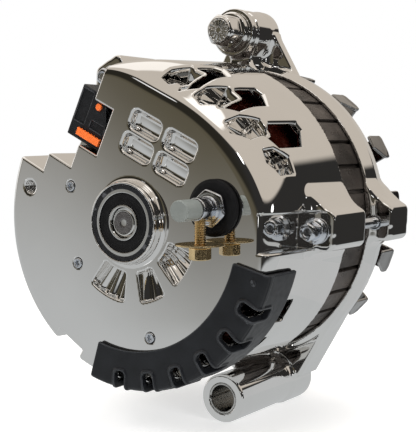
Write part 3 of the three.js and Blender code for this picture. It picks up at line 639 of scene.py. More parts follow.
def hub(p, r):
    return np.maximum(meet(r - HUB["rim"], HUB_START - p[:, 1], 1.6), p[:, 1] - 8)


def hub_bore(p, r):
    seat = np.maximum(r - HUB["sleeve"] - 0.3, p[:, 1] - 6)
    return np.minimum(seat, r - HUB["bore"])


def carve_square_vents(d, p):
    u, v = tilted(p)
    y = p[:, 1]
    for i in (-0.5, 0.5):
        for j in (-0.5, 0.5):
            a, b = u - VENT["u"] - i * VENT["pitch_u"], v - VENT["v"] - j * VENT["pitch_v"]
            where = (np.abs(a) < 18) & (np.abs(b) < 14) & (y < 14)
            a, b, depth = a[where], b[where], y[where]
            slid_a, slid_b = a - 0.12 * depth, b - 0.05 * depth
            outline = rectangle(slid_a, slid_b, VENT["half_u"] - 0.3, VENT["half_v"] - 0.3, 3.0)
            outline = outline + depth * 0.18
            pillow = 0.4 - 0.004 * np.minimum(a * a, 90) - 0.012 * np.minimum(b * b, 25)
            floor = depth - VENT["depth"] + 0.10 * np.clip(b, -5, 5) + pillow
            carve(d, where, meet(outline, floor, 2.2), 1.3)


def carve_wheel_vents(d, p, r, angle):
    """Three pockets round the hub, each with fins that run out from the hub across its floor."""
    y = p[:, 1]
    for start, end in WHEEL["sectors"]:
        mid, half = (start + end) / 2, (end - start) / 2
        off = apart(angle, mid)
        where = (np.abs(off) < half + 14) & (r > 17) & (r < 50) & (y < 18)
        fins = 1.7 * (0.5 + 0.5 * np.cos(np.radians(off[where] * 360 / 10.5)))
        depth = 7.4 - 3.4 * (r[where] - 25) / 16
        inner, outer = WHEEL["inner"] + 0.4, WHEEL["outer"] - 0.4
        outline = sector(r[where], angle[where], inner, outer, start + 1, end - 1)
        carve(d, where, meet(outline, (y[where] - depth + fins) * 0.85, 1.2), 0.8)


def carve_drum_vents(d, p, outside):
    """Windows round the shoulder, chrome-lined scoops beside them, and the windows under the baffle."""
    side_vent = [(-6.7, 14), (0, 9), (6.1, 16), (6.1, 41), (2, 42), (-6.7, 36)]
    scoop = [(-7, 10), (0, 5), (6, 6), (6, 12), (1, 20.5), (-7, 20.5)]
    for angle, along in SIDE_VENTS:
        where, out, side, y = facing(p, angle, 60, 100, 8, 8 + along, 42 + along)
        carve(d, where, meet(polygon(side, y - along, side_vent) + 1.4, 58 - out, 0.5) - 1.4, 2.2)
    for angle, along in SCOOPS:
        where, out, side, y = facing(p, angle, 60, 100, 10, 3 + along, 23 + along)
        outline = polygon(side, y - along, scoop)
        block = np.maximum(outline - 2.0, SCOOP_FLOOR - 2.5 - out)
        weld(d, where, np.maximum(block, outside[where] + 1.2), 1.0)
        carve(d, where, meet(outline + 1.2, SCOOP_FLOOR - out, 3.0) - 1.2, 1.5)
    for angle in LOWER_VENTS:
        where, out, side, y = facing(p, angle, 60, 100, 8, 20, 37)
        carve(d, where, np.maximum(rectangle(side, y - 28.5, 6.5, 8.5, 2), 62 - out), 1.2)
    for angle in BAFFLE_SLOTS:
        where, out, side, y = facing(p, angle, 68, 100, 5, -6, 13)
        carve(d, where, np.maximum(rectangle(side, y - 4, 3.4, 9, 1), 69 - out), 0.8)


def bolt_lugs(d, p, y0, y1, fillet):
    for angle in BOLT["angles"]:
        where, out, side, y = facing(p, angle, 74, 96, 11, y0, y1, 14)
        block = rectangle(side, out - 80, BOLT["half"], BOLT["out"] - 80, 4.0)
        slope_side = polygon(side, out, [(0, 72), (0, 90.8), (6.8, 90.8), (15.0, 80.5), (15.0, 72)]) - 2.5
        block = fuse(block, slope_side, 1.5)
        weld(d, where, meet(block, slab(y, y0, y1), 2.4), fillet)


def bolt_holes(d, p):
    for angle in BOLT["angles"]:
        x, z = polar(BOLT["circle"], angle)
        bore(d, p, x, z, 5, 0, 130, BOLT["hole"], 0.6)


def carve_troughs(d, p):
    for angle in BOLT["angles"]:
        where, out, side, y = facing(p, angle, 74, 110, 9, -5, 36)
        walls = np.maximum(np.abs(side) - TROUGH["half"], TROUGH["floor"] - out)
        carve(d, where, np.maximum(walls, y - BOLT["seat"]), 1.4)


def carve_face_holes(d, p):
    y = p[:, 1]
    for x, z in FACE_SCREWS:
        bore(d, p, x, z, 4, -5, 12, FACE_SCREW_HOLE, 0.5)
    x, z = TAPPED_HOLE["x"], TAPPED_HOLE["z"]
    where = around(p, x, z, 9, -5, 16)
    r = off_axis(p[where], x, z)
    weld(d, where, np.maximum(r - TAPPED_HOLE["boss"], slab(y[where], 2, TAPPED_HOLE["depth"] + 1.5)), 0.8)
    grooves = 0.35 * np.cos(y[where] * 2 * math.pi / TAPPED_HOLE["pitch"])
    tapped = r - TAPPED_HOLE["radius"] - grooves
    carve(d, where, meet(tapped, y[where] - TAPPED_HOLE["depth"], 0.5), 0.8)
    bore(d, p, POST["x"], POST["z"], 10, -5, 12, POST["opening"], 0.8)
    window = near(p, (-40, 8, 20), (5, 38, 60))
    u, v = tilted(p[window])
    opening = np.maximum(rectangle(u + 30.5, v - 33.5, 5.5, 7, 1), slab(y[window], 12.5, 33.5))
    carve(d, window, opening, 0.8)


def rear_housing_field(p):
    y = p[:, 1]
    r, angle = round_shaft(p)
    inside, outside = casting_shell(p)
    d = meet(outside, -inside, 0.8)
    bolt_lugs(d, p, BOLT["seat"], CASE["depth"], 6.0)
    d = np.maximum(d, -inside)
    where = near(p, (-60, 0, -60), (60, 12, 70))
    weld(d, where, pocket_backs(p[where], r[where], angle[where]), 1.5)
    where = (r < 34) & (y < 16)
    weld(d, where, hub(p[where], r[where]), 2.6)
    carve(d, where, hub_bore(p[where], r[where]), 0.7)
    carve_square_vents(d, p)
    carve_wheel_vents(d, p, r, angle)
    carve_drum_vents(d, p, outside)
    carve_troughs(d, p)
    bolt_holes(d, p)
    carve_face_holes(d, p)
    seat = np.maximum(r - STATOR["radius"] - 0.4, STATOR["start"] - 0.4 - y)
    return np.maximum(np.maximum(d, -seat), y - CASE["depth"])


# ---------------------------------------------------------------- drive-end frame
def web(p, boss, radius, drum, y0, y1, edge=1.5):
    """A plate that joins a round boss to the drum along the lines that touch both."""
    distance = math.hypot(boss["x"], boss["z"])
    lean = math.acos((drum - radius) / distance)
    heading = math.atan2(boss["z"], boss["x"])
    x, z = p[:, 0], p[:, 2]
    sides = [x * math.cos(heading + s * lean) + z * math.sin(heading + s * lean) - drum for s in (-1, 1)]
    along = (x * boss["x"] + z * boss["z"]) / distance
    outline = np.maximum(np.maximum(*sides), np.maximum(along - distance, drum * math.cos(lean) - along))
    outline = np.minimum(outline, off_axis(p, boss["x"], boss["z"]) - radius)
    return meet(outline, slab(p[:, 1], y0, y1), edge)


def weld_foot(d, p):
    weld(d, slice(None), web(p, FOOT, FOOT["radius"], 80, DRIVE["start"] + 1, DRIVE["face"], 2.0), 3.0)
    where = around(p, FOOT["x"], FOOT["z"], FOOT["radius"] + 5, FOOT["start"], DRIVE["face"])
    rod = off_axis(p[where], FOOT["x"], FOOT["z"]) - FOOT["radius"]
    weld(d, where, meet(rod, slab(p[where, 1], FOOT["start"], DRIVE["face"]), 1.4), 3.5)
    heading = math.degrees(math.atan2(FOOT["z"], FOOT["x"]))
    where, out, side, y = facing(p, heading, 78, 95, 6, 74, 122)
    rib = polygon(side, y, [(-5, 76), (5, 104), (5, 120), (-5, 120)])
    weld(d, where, meet(rib, slab(out, 80.3, 92), 1.5), 4.0)


def weld_ear(d, p):
    """The boss for the adjusting bolt, on a thin plate with a thick rib behind it."""
    weld(d, slice(None), web(p, EAR, 12.5, 62, EAR["plate"], DRIVE["face"], 1.4), 3.0)
    where, out, side, y = facing(p, 90, 79, EAR["z"], 8, DRIVE["start"], DRIVE["face"], 12)
    rib = np.maximum(np.abs(side) - EAR["rib"], slab(out, 76, EAR["z"] - 2))
    weld(d, where, meet(rib, slab(y, DRIVE["start"], DRIVE["face"]), 1.6), 6.0)
    where = around(p, EAR["x"], EAR["z"], EAR["radius"] + 8, EAR["start"], DRIVE["face"])
    y = p[where, 1]
    neck = EAR["radius"] - 1.1 * np.clip((y - 98) / 0.8, 0, 1) * np.clip((102.5 - y) / 0.8, 0, 1)
    rod = off_axis(p[where], EAR["x"], EAR["z"]) - neck
    weld(d, where, meet(rod, slab(y, EAR["start"], DRIVE["face"]), 0.9), 3.5)


def drive_end_frame_field(p):
    y = p[:, 1]
    r, angle = round_shaft(p)
    profile = [(-9, 102), (81, 102), (83, 112), (82, 119), (77, 124), (60, 125), (32, 127), (27, 137),
               (-9, 137)]
    d = meet(polygon(r, y, profile) + 1.0, DRIVE["start"] + 1.0 - y, 0.2) - 1.0
    weld_foot(d, p)
    weld_ear(d, p)
    bolt_lugs(d, p, DRIVE["start"], DRIVE["face"], 6.0)
    cavity = [(-9, 90), (79.4, 90), (79.4, 107), (76, 107), (74, 118), (27, 119), (-9, 119)]
    carve(d, r < 90, polygon(r, y, cavity)[r < 90], 0.9)
    where = r < 34
    carve(d, where, np.maximum(r[where] - DRIVE["seat"], DRIVE["seat_start"] - y[where]), 0.7)
    carve(d, where, r[where] - DRIVE["bore"], 0.7)
    for i in range(DRIVE["openings"]):
        off = apart(angle, (i + 0.5) * 360 / DRIVE["openings"])
        where = (np.abs(off) < 24) & (r > 30) & (r < 74) & (y > 104)
        carve(d, where, sector(r[where], off[where], 36, 68, -14.5, 14.5), 1.3)
    bolt_holes(d, p)
    for boss, radius in ((FOOT, FOOT["sleeve"] + 0.15), (EAR, EAR["hole"])):
        bore(d, p, boss["x"], boss["z"], radius + 4, 40, 130, radius, 0.4)
    return d


def castings():
    rear = carved(rear_housing_field, (-96, -7, -96), (96, 72, 96), COARSE)
    piece("rear_housing_casting", rear, chrome, "chrome_casting", "rear_housing")
    front = carved(drive_end_frame_field, (-96, 49, -110), (98, 138, 116), COARSE * 1.2)
    piece("drive_end_casting", front, chrome, "chrome_casting", "drive_end_frame")


# ---------------------------------------------------------------- stator
def stator_core():
    """A ring of stacked sheets with slots inside and shallow keyways outside."""
    pitch = 360 / STATOR["slots"]
    outer = [(-4.6, 0), (-1.05, 0), (-0.8, -2.4), (0.5, -2.4), (0.75, 0), (2.8, 0)]
    inner = [(-3.7, 0), (-0.80, 0), (-1.20, 12.5), (1.20, 12.5), (0.80, 0), (3.7, 0)]
    rows = []
    for i in range(STATOR["slots"]):
        for (a, out), (b, into) in zip(outer, inner):
            x, z = polar(STATOR["radius"] + out, i * pitch + a)
            s, t = polar(STATOR["inner"] + into, i * pitch + b)
            rows.append(((x, z), (s, t)))
    count = len(rows)
    points = [(x, y, z) for (x, z), _ in rows for y in (STATOR["start"], STATOR["end"])]
    points += [(s, y, t) for _, (s, t) in rows for y in (STATOR["start"], STATOR["end"])]
    faces = []
    for i in range(count):
        j = (i + 1) % count
        o0, o1, n0, n1 = 2 * i, 2 * i + 1, 2 * j, 2 * j + 1
        p0, p1, q0, q1 = (k + 2 * count for k in (o0, o1, n0, n1))
        faces += [[o0, n0, n1, o1], [p0, p1, q1, q0], [o0, p0, q0, n0], [o1, n1, q1, p1]]
    return outward(points, faces)


def ripple(strands, lean, height):
    """A wobble that makes a wound surface look like separate wires."""
    def lift(r, along, angle):
        return r + height * abs(math.sin(strands * angle / 2 + along * lean))
    return lift


def stator_winding():
    rear = revolved([(60, 63.5), (59, 55), (65, 50), (70.5, 54), (70, 63.5)], 3, closed=True, segments=576,
                    wobble=ripple(144, 0.9, 0.7))
    front = revolved([(60, 109.5), (70, 109.5), (70.5, 113), (65, 116.5), (59.5, 114)], 3, closed=True,
                     segments=576, wobble=ripple(144, 0.9, 0.7))
    bars = []
    for i in range(STATOR["slots"]):
        angle = i * 360 / STATOR["slots"]
        for k in range(4):
            x, z = polar(61.6 + 1.9 * k, angle)
            path = [(x, 62.5 + 48.5 * t, z) for t in (0, 0.25, 0.5, 0.75, 1)]
            bars.append(tube(path, 0.85, 8))
    return together(rear, front, *bars)


# ---------------------------------------------------------------- bearings
def sphere(x, y, z, radius, segments=24):
    turns = [math.pi * i / 14 for i in range(15)]
    profile = [(radius * math.sin(t), y - radius * math.cos(t)) for t in turns]
    return revolved(profile, 0.1, x, z, segments)


def ball_train(pitch, ball, mid, count=7):
    balls = []
    for i in range(count):
        x, z = polar(pitch, i * 360 / count)
        balls.append(sphere(x, mid, z, ball))
    cage = revolved(plain_ring(pitch + 0.9, pitch - 0.9, mid - 1.2, mid + 1.2), 0.3, closed=True)
    return together(cage, *balls)


def race(edge, lip, groove_edge, mid, half, pitch, ball):
    """A race with a ball groove; lip is the radius its narrow shoulder reaches at the rear face."""
    side = 1 if edge > pitch else -1
    groove = pitch + side * (ball + 0.25)
    profile = [(edge, -half), (edge, half), (groove_edge, half), (groove_edge, ball * 0.75),
               (groove, ball * 0.35), (groove, -ball * 0.35), (groove_edge, -ball * 0.75),
               (groove_edge, 1.6 - half), (lip, 1.6 - half), (lip, -half)]
    profile = [(r, mid + y) for r, y in profile]
    return revolved(profile, 0.35, closed=True, segments=128)


def bearings():
    rear = dict(mid=-0.1, half=5.5, pitch=12.5, ball=2.4)
    front = dict(mid=130.0, half=6.0, pitch=14.25, ball=2.8)
    for end, made, outer, inner, ball in (("rear", rear, (17.5, 14.7, 14.2), (7.6, 8.8, 10.8), 2.35),
                                          ("front", front, (20.0, 16.4, 16.1), (8.6, 12.1, 12.4), 2.7)):
        piece(f"{end}_race_outer", race(*outer, **made), polished, "bearing_steel", f"{end}_bearing_outer")
        piece(f"{end}_race_inner", race(*inner, **made), polished, "bearing_steel", f"{end}_bearing_inner",
              body="rotor")
        balls = ball_train(made["pitch"], ball, made["mid"])
        piece(f"{end}_balls", balls, polished, "bearing_steel", f"{end}_bearing_balls",
              body=f"{end}_ball_cage")
    seal = [(14.55, -5.1), (14.55, -4.25), (9.0, -4.25), (9.0, -5.1), (10.4, -5.1), (10.9, -4.85),
            (12.6, -4.85), (13.2, -5.1)]
    piece("rear_seal", revolved(seal, 0.25, closed=True, segments=128), rubber, "dark_rubber",
          "rear_bearing_seal")
    sleeve = [(18.6, -6.05), (18.6, 5.6), (17.8, 5.6), (17.8, -5.7), (16.5, -5.7), (16.5, -6.05)]
    piece("hub_sleeve", revolved(sleeve, 0.25, closed=True, segments=128), moulded, "black_plastic",
          "rear_bearing_sleeve")
    piece("retainer_plate", copied("bearing_retainer", 0.4), ground, "bright_steel", "bearing_retainer")
    for i, angle in enumerate((30, 150, 270)):
        screw = socket_screw(*polar(23.2, angle))
        piece(f"retainer_fastener_{i + 1}", screw, zinc, "bright_steel", f"retainer_screw_{i + 1}")


def socket_screw(x, z):
    head = [(0, 115.0), (1.6, 115.0), (1.6, 113.8), (3.0, 113.8), (3.8, 114.8), (3.8, 116.2)]
    rod = along_thread(1.95, 116.3, 118.6, 0.7)
    return revolved(head + rod + [(0, 118.6)], 0.3, x, z, 48, wobble=thread(1.95, 116.3, 118.6, 0.7, 0.25))


# ---------------------------------------------------------------- rotor and drive side
def rotor_shaft():
    rear = [(0, -4.5), (5.6, -4.5), (5.6, -4.9), (6.2, -4.9), (7.4, -3.9), (7.4, 8), (8.5, 9), (8.5, 160)]
    nose = along_thread(7.8, 161, 173, 1.5)
    return revolved(rear + nose + [(6.8, 174), (0, 174)], 0.3, segments=96,
                    wobble=thread(7.8, 160.5, 173.2, 1.5, 0.8))


def slip_rings():
    core = [(8.9, 9.4), (11, 9.4), (11, 12.9), (9.8, 12.9), (9.8, 19.6), (11, 19.6), (11, 22.4), (9.8, 22.4),
            (9.8, 29.1), (11, 29.1), (11, 33.5), (8.9, 33.5)]
    piece("slip_ring_core", revolved(core, 0.3, closed=True), moulded, "black_plastic", "slip_ring_sleeve",
          body="rotor")
    for i, y in enumerate((13.2, 22.7)):
        ring = revolved(plain_ring(10.15, 11, y, y + 6.1), 0.25, closed=True)
        piece(f"slip_contact_{i + 1}", ring, slip, "slip_copper", f"slip_ring_{i + 1}", body="rotor")


def rotor():
    piece("shaft", rotor_shaft(), polished, "bright_steel", "rotor_shaft", body="rotor")
    end = [(0, -4.1), (0.9, -4.1), (2.4, -4.95), (5.45, -4.95), (5.45, -4.52), (3, -4.52), (0.9, -3.8),
           (0, -3.8)]
    piece("shaft_end_face", revolved(end, 0.15), dark_end, "bright_steel", body="rotor")
    for side in ("rear", "front"):
        piece(f"claws_{side}", copied(f"pole_{side}", 0.9), rotor_iron, "rotor_steel", f"pole_{side}",
              body="rotor")
    coil = [(8.9, 71.5), (44, 71.5)] + [(44, 72 + i * 0.8) for i in range(33)] + [(44, 98.5), (8.9, 98.5)]
    wire = revolved(coil, 0.2, closed=True,
                    wobble=lambda r, y, a: r + 0.35 * (r > 40) * math.cos(y * 7.85 + a))
    piece("field_winding", wire, enamel, "winding_copper", "field_coil", body="rotor")
    slip_rings()


def fan_field(p):
    """A dished plate with an arm to each blade; the blades are folded forward from the arms' ends."""
    y = p[:, 1]
    r, angle = round_shaft(p)
    dish = [(9, 139.6), (24, 139.6), (30, 142.5), (60, 142.5), (60, 144.3), (29.2, 144.3), (23, 142),
            (9, 142)]
    pitch = 360 / FAN["blades"]
    off = np.radians((angle - FAN["first"] + pitch / 2) % pitch - pitch / 2)
    out, side = r * np.cos(off), r * np.sin(off)
    arm = np.maximum(rectangle(side, out - 66, FAN["arm"], 13.8, 3), slab(y, 142.5, 144.3))
    blade = polygon(side, y, [(-6.2, 139.4), (-0.6, 130.8), (5.2, 130.8), (5.2, 143), (-6.2, 143)]) - 1.2
    blade = meet(blade, slab(out, 78.2, 80.0), 0.5)
    return fuse(fuse(polygon(r, y, dish), arm, 2.5), blade, 1.4)


def hexagon_nut(flats, bore, y0, y1):
    def field(p):
        r, y = off_axis(p), p[:, 1]
        chamfer = (r - flats * 0.56 + np.maximum(y0 + 1.6 - y, y - y1 + 1.6) * 1.4) * 0.6
        nut = meet(meet(hexagon(p[:, 0], p[:, 2], flats, 90), slab(y, y0, y1), 0.5), chamfer, 0.5)
        return meet(nut, bore - r, 0.6)
    return carved_round(field, 0, 0, flats * 0.6, y0, y1, 0.35)


def pulley():
    start, pitch, rim, crest, root = (PULLEY[key] for key in ("start", "pitch", "rim", "crest", "root"))
    profile = [(8.8, 142.5), (20, 142.5), (20, 148.1), (rim, 148.1), (rim, start - 0.4)]
    for i in range(PULLEY["grooves"]):
        y = start + i * pitch
        profile += [(crest, y), (crest, y + 0.25), (root, y + pitch / 2 - 0.3), (root, y + pitch / 2 + 0.3)]
    end = start + PULLEY["grooves"] * pitch
    profile += [(crest, end), (rim, end + 0.4), (rim, end + 1.6), (24, end + 1.6), (21, 162), (8.8, 162)]
    return revolved(profile, 0.35, closed=True, segments=144)


def drive_side():
    fan = carved(fan_field, (-83, 128, -83), (83, 146, 83), 0.6)
    piece("fan_wheel", fan, fan_metal, "chrome_sheet", "fan", body="rotor")
    spacer = revolved(plain_ring(8.7, 12.5, 136.4, 139.3), 0.4, closed=True)
    piece("spacer_ring", spacer, ground, "bright_steel", "shaft_spacer", body="rotor")
    piece("pulley_wheel", pulley(), chrome, "chrome_casting", "pulley", body="rotor")
    washer = revolved(plain_ring(8.8, 13, 162.3, 164.3), 0.4, closed=True)
    piece("pulley_lock_washer", washer, zinc, "bright_steel", "pulley_washer", body="rotor")
    nut = hexagon_nut(24, 8.1, 164.6, 172.5)
    piece("pulley_hex_nut", nut, zinc, "bright_steel", "pulley_nut", body="rotor")


# ---------------------------------------------------------------- brushes, rectifier and regulator
def helix(y, z0, z1, radius=2.0, turns=SPRING["turns"]):
    count = turns * 20
    steps = [i / count for i in range(count + 1)]
    return [(radius * math.cos(2 * math.pi * turns * t), y + radius * math.sin(2 * math.pi * turns * t),
             z0 + (z1 - z0) * t) for t in steps]


def brush_spring(name, y, joint, *nodes):
    """A coil spring of round wire, wound between the heights that SPRING gives."""
    low, high, wire = SPRING["low"], SPRING["high"], SPRING["wire"]
    spring = piece(name, tube(helix(y, low, high), wire), polished, "bright_steel", *nodes)
    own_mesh(spring)


def brush_gear():
    piece("brush_box", copied("brush_holder", 0.6), moulded, "black_plastic", "brush_holder")
    for i, (y, body) in enumerate(((16.25, "brush_rear"), (25.75, "brush_front"))):
        piece(f"carbon_brush_{i + 1}", copied(f"brush_{i + 1}", 0.5), carbon, "brush_carbon",
              f"brush_{i + 1}", body=body)
        brush_spring(f"pressure_spring_{i + 1}", y, f"{body}_slide", f"brush_spring_{i + 1}")


def electrics():
    piece("regulator_body", copied("regulator", 0.9), moulded, "black_plastic", "regulator")
    for side in ("negative", "positive"):
        piece(f"diode_plate_{side}", copied(f"heat_sink_{side}", 0.5), plate, "plate_aluminium",
              f"heat_sink_{side}")
    for i, (start, angle) in enumerate(DIODES):
        x, z = polar(DIODES_CIRCLE, angle)
        can = [(0, -0.5), (4.9, -0.5), (4.9, 6), (4.2, 6.3), (3.2, 8), (0.8, 9), (0.8, 14), (0, 14)]
        can = revolved([(r, start + along) for r, along in can], 0.35, x, z, 48)
        piece(f"diode_can_{i + 1}", can, zinc, "bright_steel", f"diode_{i + 1}")
    piece("capacitor_can", copied("capacitor", 1.0), moulded, "black_plastic", "capacitor")


def socket_field(p):
    u, v = tilted(p)
    y = p[:, 1]
    outline = [(-58.2, 21.3), (-34.5, 21.3), (-34.5, 44.2), (-46.6, 44.2), (-46.6, 48.6), (-58.2, 48.6)]
    d = meet(polygon(u, v, outline), slab(y, 3, 35), 1.1)
    mouth = np.maximum(np.maximum(u + 48.1, slab(v, 24.5, 45.5)), slab(y, 7, 31))
    d = meet(d, -mouth, 0.6)
    for u0, u1, v0, v1 in ((-45.6, -36.2, 30, 34), (-56.8, -49.5, 30, 47)):
        panel = rectangle(u - (u0 + u1) / 2, v - (v0 + v1) / 2, (u1 - u0) / 2, (v1 - v0) / 2, 0.6)
        d = meet(d, -np.maximum(panel, y - 3.8), 0.3)
    blades = np.abs((v - 35 + 2.25) % 4.5 - 2.25) - 0.6
    blades = np.maximum(np.maximum(slab(u, -56, -47), blades), np.maximum(slab(y, 17, 21), slab(v, 26, 44)))
    return np.minimum(d, blades)


def lock_field(p):
    u, v = tilted(p)
    teeth = 0.5 * np.abs((u * 0.9) % 2 - 1)
    bar = np.maximum(slab(u, -51, -35.2), np.maximum(24 - v, v - 27.5 - teeth))
    return meet(bar, slab(p[:, 1], 0.9, 2.7), 0.35)


def connector():
    shell = carved(socket_field, (-64, 0, 32), (-20, 36, 70), 0.4)
    piece("connector_shell", shell, moulded, "black_plastic", "connector_socket")
    clip = carved(lock_field, (-40, 0.5, 32), (-15, 3.1, 52), 0.2)
    piece("connector_clip", clip, orange, "orange_plastic", "connector_lock")
    x, z = turn(-43.6, 42.1, -STEP_TILT)
    dot = [(0, 1.9), (1.5, 1.9), (1.9, 2.3), (1.9, 3.3), (0, 3.3)]
    piece("connector_plug_dot", revolved(dot, 0.3, x, z, 40), orange, "orange_plastic")


# ---------------------------------------------------------------- output terminal
def post_hexagon():
    def field(p):
        x, z, y = p[:, 0] - POST["x"], p[:, 2] - POST["z"], p[:, 1]
        r = np.hypot(x, z)
        body = meet(hexagon(x, z, 16.5, 12), slab(y, -6.4, -3.7), 0.9)
        body = meet(body, (r - 9.2 + np.maximum(-5.4 - y, 0)) * 0.7, 0.8)
        collar = meet(r - 5.4, slab(y, -16.6, -5.5), 0.6)
        hole = np.hypot(p[:, 0] - POST["x"], y - TERMINAL["y"]) - TERMINAL["radius"] - 0.5
        collar = np.maximum(collar, -np.maximum(hole, z))
        return meet(fuse(body, collar, 1.0), POST["bore"] - r, 0.3)
    return carved_round(field, POST["x"], POST["z"], 10, -17, -3.5, 0.35)


def output_post():
    rod = along_thread(4.1, -19.8, -2, 1.25)
    profile = [(0, -20)] + rod + [(4.1, 21), (6.6, 21.3), (6.6, 24), (0, 24)]
    return revolved(profile, 0.3, POST["x"], POST["z"], 64, wobble=thread(4.1, -20.5, -2, 1.25, 0.5))


def terminal_bolt():
    seat = POST["z"] - TERMINAL["head"]
    centre = (POST["x"], TERMINAL["y"])
    shank = along_thread(2.8, seat - 0.5, seat + 14.6, 1.1)
    rod = revolved([(0, seat - 0.6)] + shank + [(2.3, seat + 15), (0, seat + 15)], 0.2, upright=centre,
                   segments=48, wobble=thread(2.8, seat - 0.3, seat + 15.2, 1.1, 0.45))

    def head(p):
        x, y, z = p[:, 0] - centre[0], p[:, 1] - centre[1], p[:, 2]
        r = np.hypot(x, y)
        chamfer = (r - 5.9 + np.maximum(seat - 5.4 - z, 0) * 1.6) * 0.6
        return meet(meet(hexagon(x, y, 9.0, 8), slab(z, seat - 6.2, seat - 0.6), 0.4), chamfer, 0.4)
    x, y = centre
    return together(rod, carved(head, (x - 6, y - 6, seat - 6.5), (x + 6, y + 6, seat), 0.22))


def terminal():
    piece("terminal_stud", output_post(), polished, "bright_steel", "output_post")
    x, z = POST["x"], POST["z"]
    disc = [(4.6, -3.2), (11.6, -3.4), (13.5, -2.5), (13.5, -0.35), (6.9, -0.35), (6.9, 15.6), (4.6, 15.6)]
    piece("stud_insulator", revolved(disc, 0.6, x, z, 96, closed=True), rubber, "dark_rubber",
          "post_insulator")
    piece("stud_hex_collar", post_hexagon(), zinc, "bright_steel", "post_flange")
    cap = [(0, -29.5), (4.4, -29.5), (4.9, -29.0), (4.9, -17.3), (4.35, -17.3), (4.35, -27.6), (0, -27.6)]
    piece("stud_cap", revolved(cap, 0.45, x, z, 64), grey_cap, "grey_plastic", "post_cap")
    piece("clamp_bolt", terminal_bolt(), brass, "terminal_brass", "terminal_bolt")
    top = POST["z"] - 16.2 + 0.4
    washer = revolved(plain_ring(3.1, 11.6, top - 0.8, top), 0.25, closed=True, upright=(x, TERMINAL["y"]))
    piece("clamp_washer", washer, brass, "terminal_brass", "terminal_washer")


# ---------------------------------------------------------------- baffle
def baffle_field(p):
    """A curved black guard: a flat front, a band round the drum, and lipped slots through the corner."""
    y = p[:, 1]
    r, angle = round_shaft(p)
    inner, outer, band = BAFFLE["inner"], BAFFLE["outer"], BAFFLE["band"]
    outside = meet(meet(r - outer, -2.6 - y, 2.4), np.maximum(inner - r, y - band), 0.5)
    inside = np.maximum(r - outer + 2.1, -0.5 - y)
    skin = meet(outside, -inside, 0.4)
    middle, half = (BAFFLE["start"] + BAFFLE["end"]) / 2, (BAFFLE["end"] - BAFFLE["start"]) / 2
    off = np.radians(np.abs(apart(angle, middle)) - half)
    ends = r * np.sin(np.clip(off, -math.pi / 2, math.pi / 2))
    slots = np.full(len(p), 50.0)
    for slot_angle in BAFFLE_SLOTS:
        out, side = turn(p[:, 0], p[:, 2], slot_angle)
        reach = 10.5 if slot_angle > -75 else 7
        slot = meet(meet(np.abs(side) - 3.0, 74.4 - out, 2.2), y - reach, 2.2)
        slots = np.minimum(slots, slot)
    lips = meet(skin - 0.75, slots - 1.5, 0.8)
    skin = fuse(skin, lips, 0.6)
    rim = meet(meet(r - outer - 0.4, slab(y, 0, 2.6), 0.4), outer - 2 - r, 0.2)
    skin = fuse(skin, rim, 0.5)
    dot_x, dot_z = polar(77, -18.5)
    dot = off_axis(p, dot_x, dot_z) - 1.6
    skin = fuse(skin, meet(dot, slab(y, -3.1, -1), 0.3), 0.3)
    return meet(meet(skin, -slots, 0.5), ends, 0.8)


def baffle():
    shape = carved(baffle_field, (-30, -4, -86), (84, 25, -14), 0.45)
    piece("lower_baffle", shape, baffle_black, "black_plastic", "baffle")


# ---------------------------------------------------------------- fasteners
def flange_bolt(x, z):
    def field(p):
        a, b, y = p[:, 0] - x, p[:, 2] - z, p[:, 1]
        r = np.hypot(a, b)
        chamfer = (r - 4.6 + np.maximum(28.0 - y, 0) * 1.3) * 0.7
        head = meet(meet(hexagon(a, b, 8.2), slab(y, 27, 35), 0.5), chamfer, 0.4)
        dish = meet(r - 2.2, y - 27.5, 0.3)
        flange = meet(r - 6.4 + np.maximum(34.9 - y, 0) * 1.2, slab(y, 33.8, 35.7), 0.4)
        return meet(fuse(head, flange, 0.8), -dish, 0.4)
    head = carved_round(field, x, z, 7.2, 26.5, 36, 0.25)
    rod = [(0, 35), (2.9, 35)] + along_thread(2.9, 100, 122.4, 1.25) + [(2.3, 123), (0, 123)]
    return together(head, revolved(rod, 0.2, x, z, 40, wobble=thread(2.9, 99, 123.5, 1.25, 0.45)))


def face_screw(x, z):
    """A flush screw with a six-lobed socket."""
    def sink(r, along, angle):
        return r * (1 + 0.22 * math.cos(6 * angle)) if r < 1.7 and along > -0.39 else r
    head = [(0, 0.9), (1.15, 0.9), (1.35, -0.1), (1.7, -0.4), (2.3, -0.4), (2.6, -0.1), (2.6, 2.2),
            (2.2, 2.4), (2.2, 7.5), (0, 7.5)]
    return revolved(head, 0.15, x, z, 60, wobble=sink)


def ear_bolt():
    """A large bolt whose head carries a raised round face with fine radial spokes."""
    x, z = EAR["x"], EAR["z"]

    def field(p):
        a, b, y = p[:, 0] - x, p[:, 2] - z, p[:, 1]
        r, angle = np.hypot(a, b), np.arctan2(b, a)
        chamfer = (r - 9.4 + np.maximum(83.2 - y, 0) * 0.9) * 0.75
        head = meet(meet(hexagon(a, b, 16.6, 15), slab(y, 81, 93), 0.8), chamfer, 0.8)
        spokes = 0.45 * np.clip(np.cos(13 * angle) * 1.6, -1, 1) * np.clip((6.2 - r) * 2, 0, 1)
        face = meet(r - 7.0, 80.3 - y - spokes * np.clip(r - 1.4, 0, 1), 0.5)
        head = fuse(head, meet(face, y - 85, 0.3), 0.5)
        flange = meet(r - 11.2 + np.maximum(92.9 - y, 0) * 0.7, slab(y, 91.4, 94.7), 0.5)
        return fuse(head, flange, 1.0)
    head = carved_round(field, x, z, 12, 79.5, 95, 0.3)
    rod = [(0, 94), (4.9, 94)] + along_thread(4.9, 112, 131.2, 1.5) + [(4.0, 132), (0, 132)]
    return together(head, revolved(rod, 0.3, x, z, 56, wobble=thread(4.9, 111, 132.5, 1.5, 0.6)))


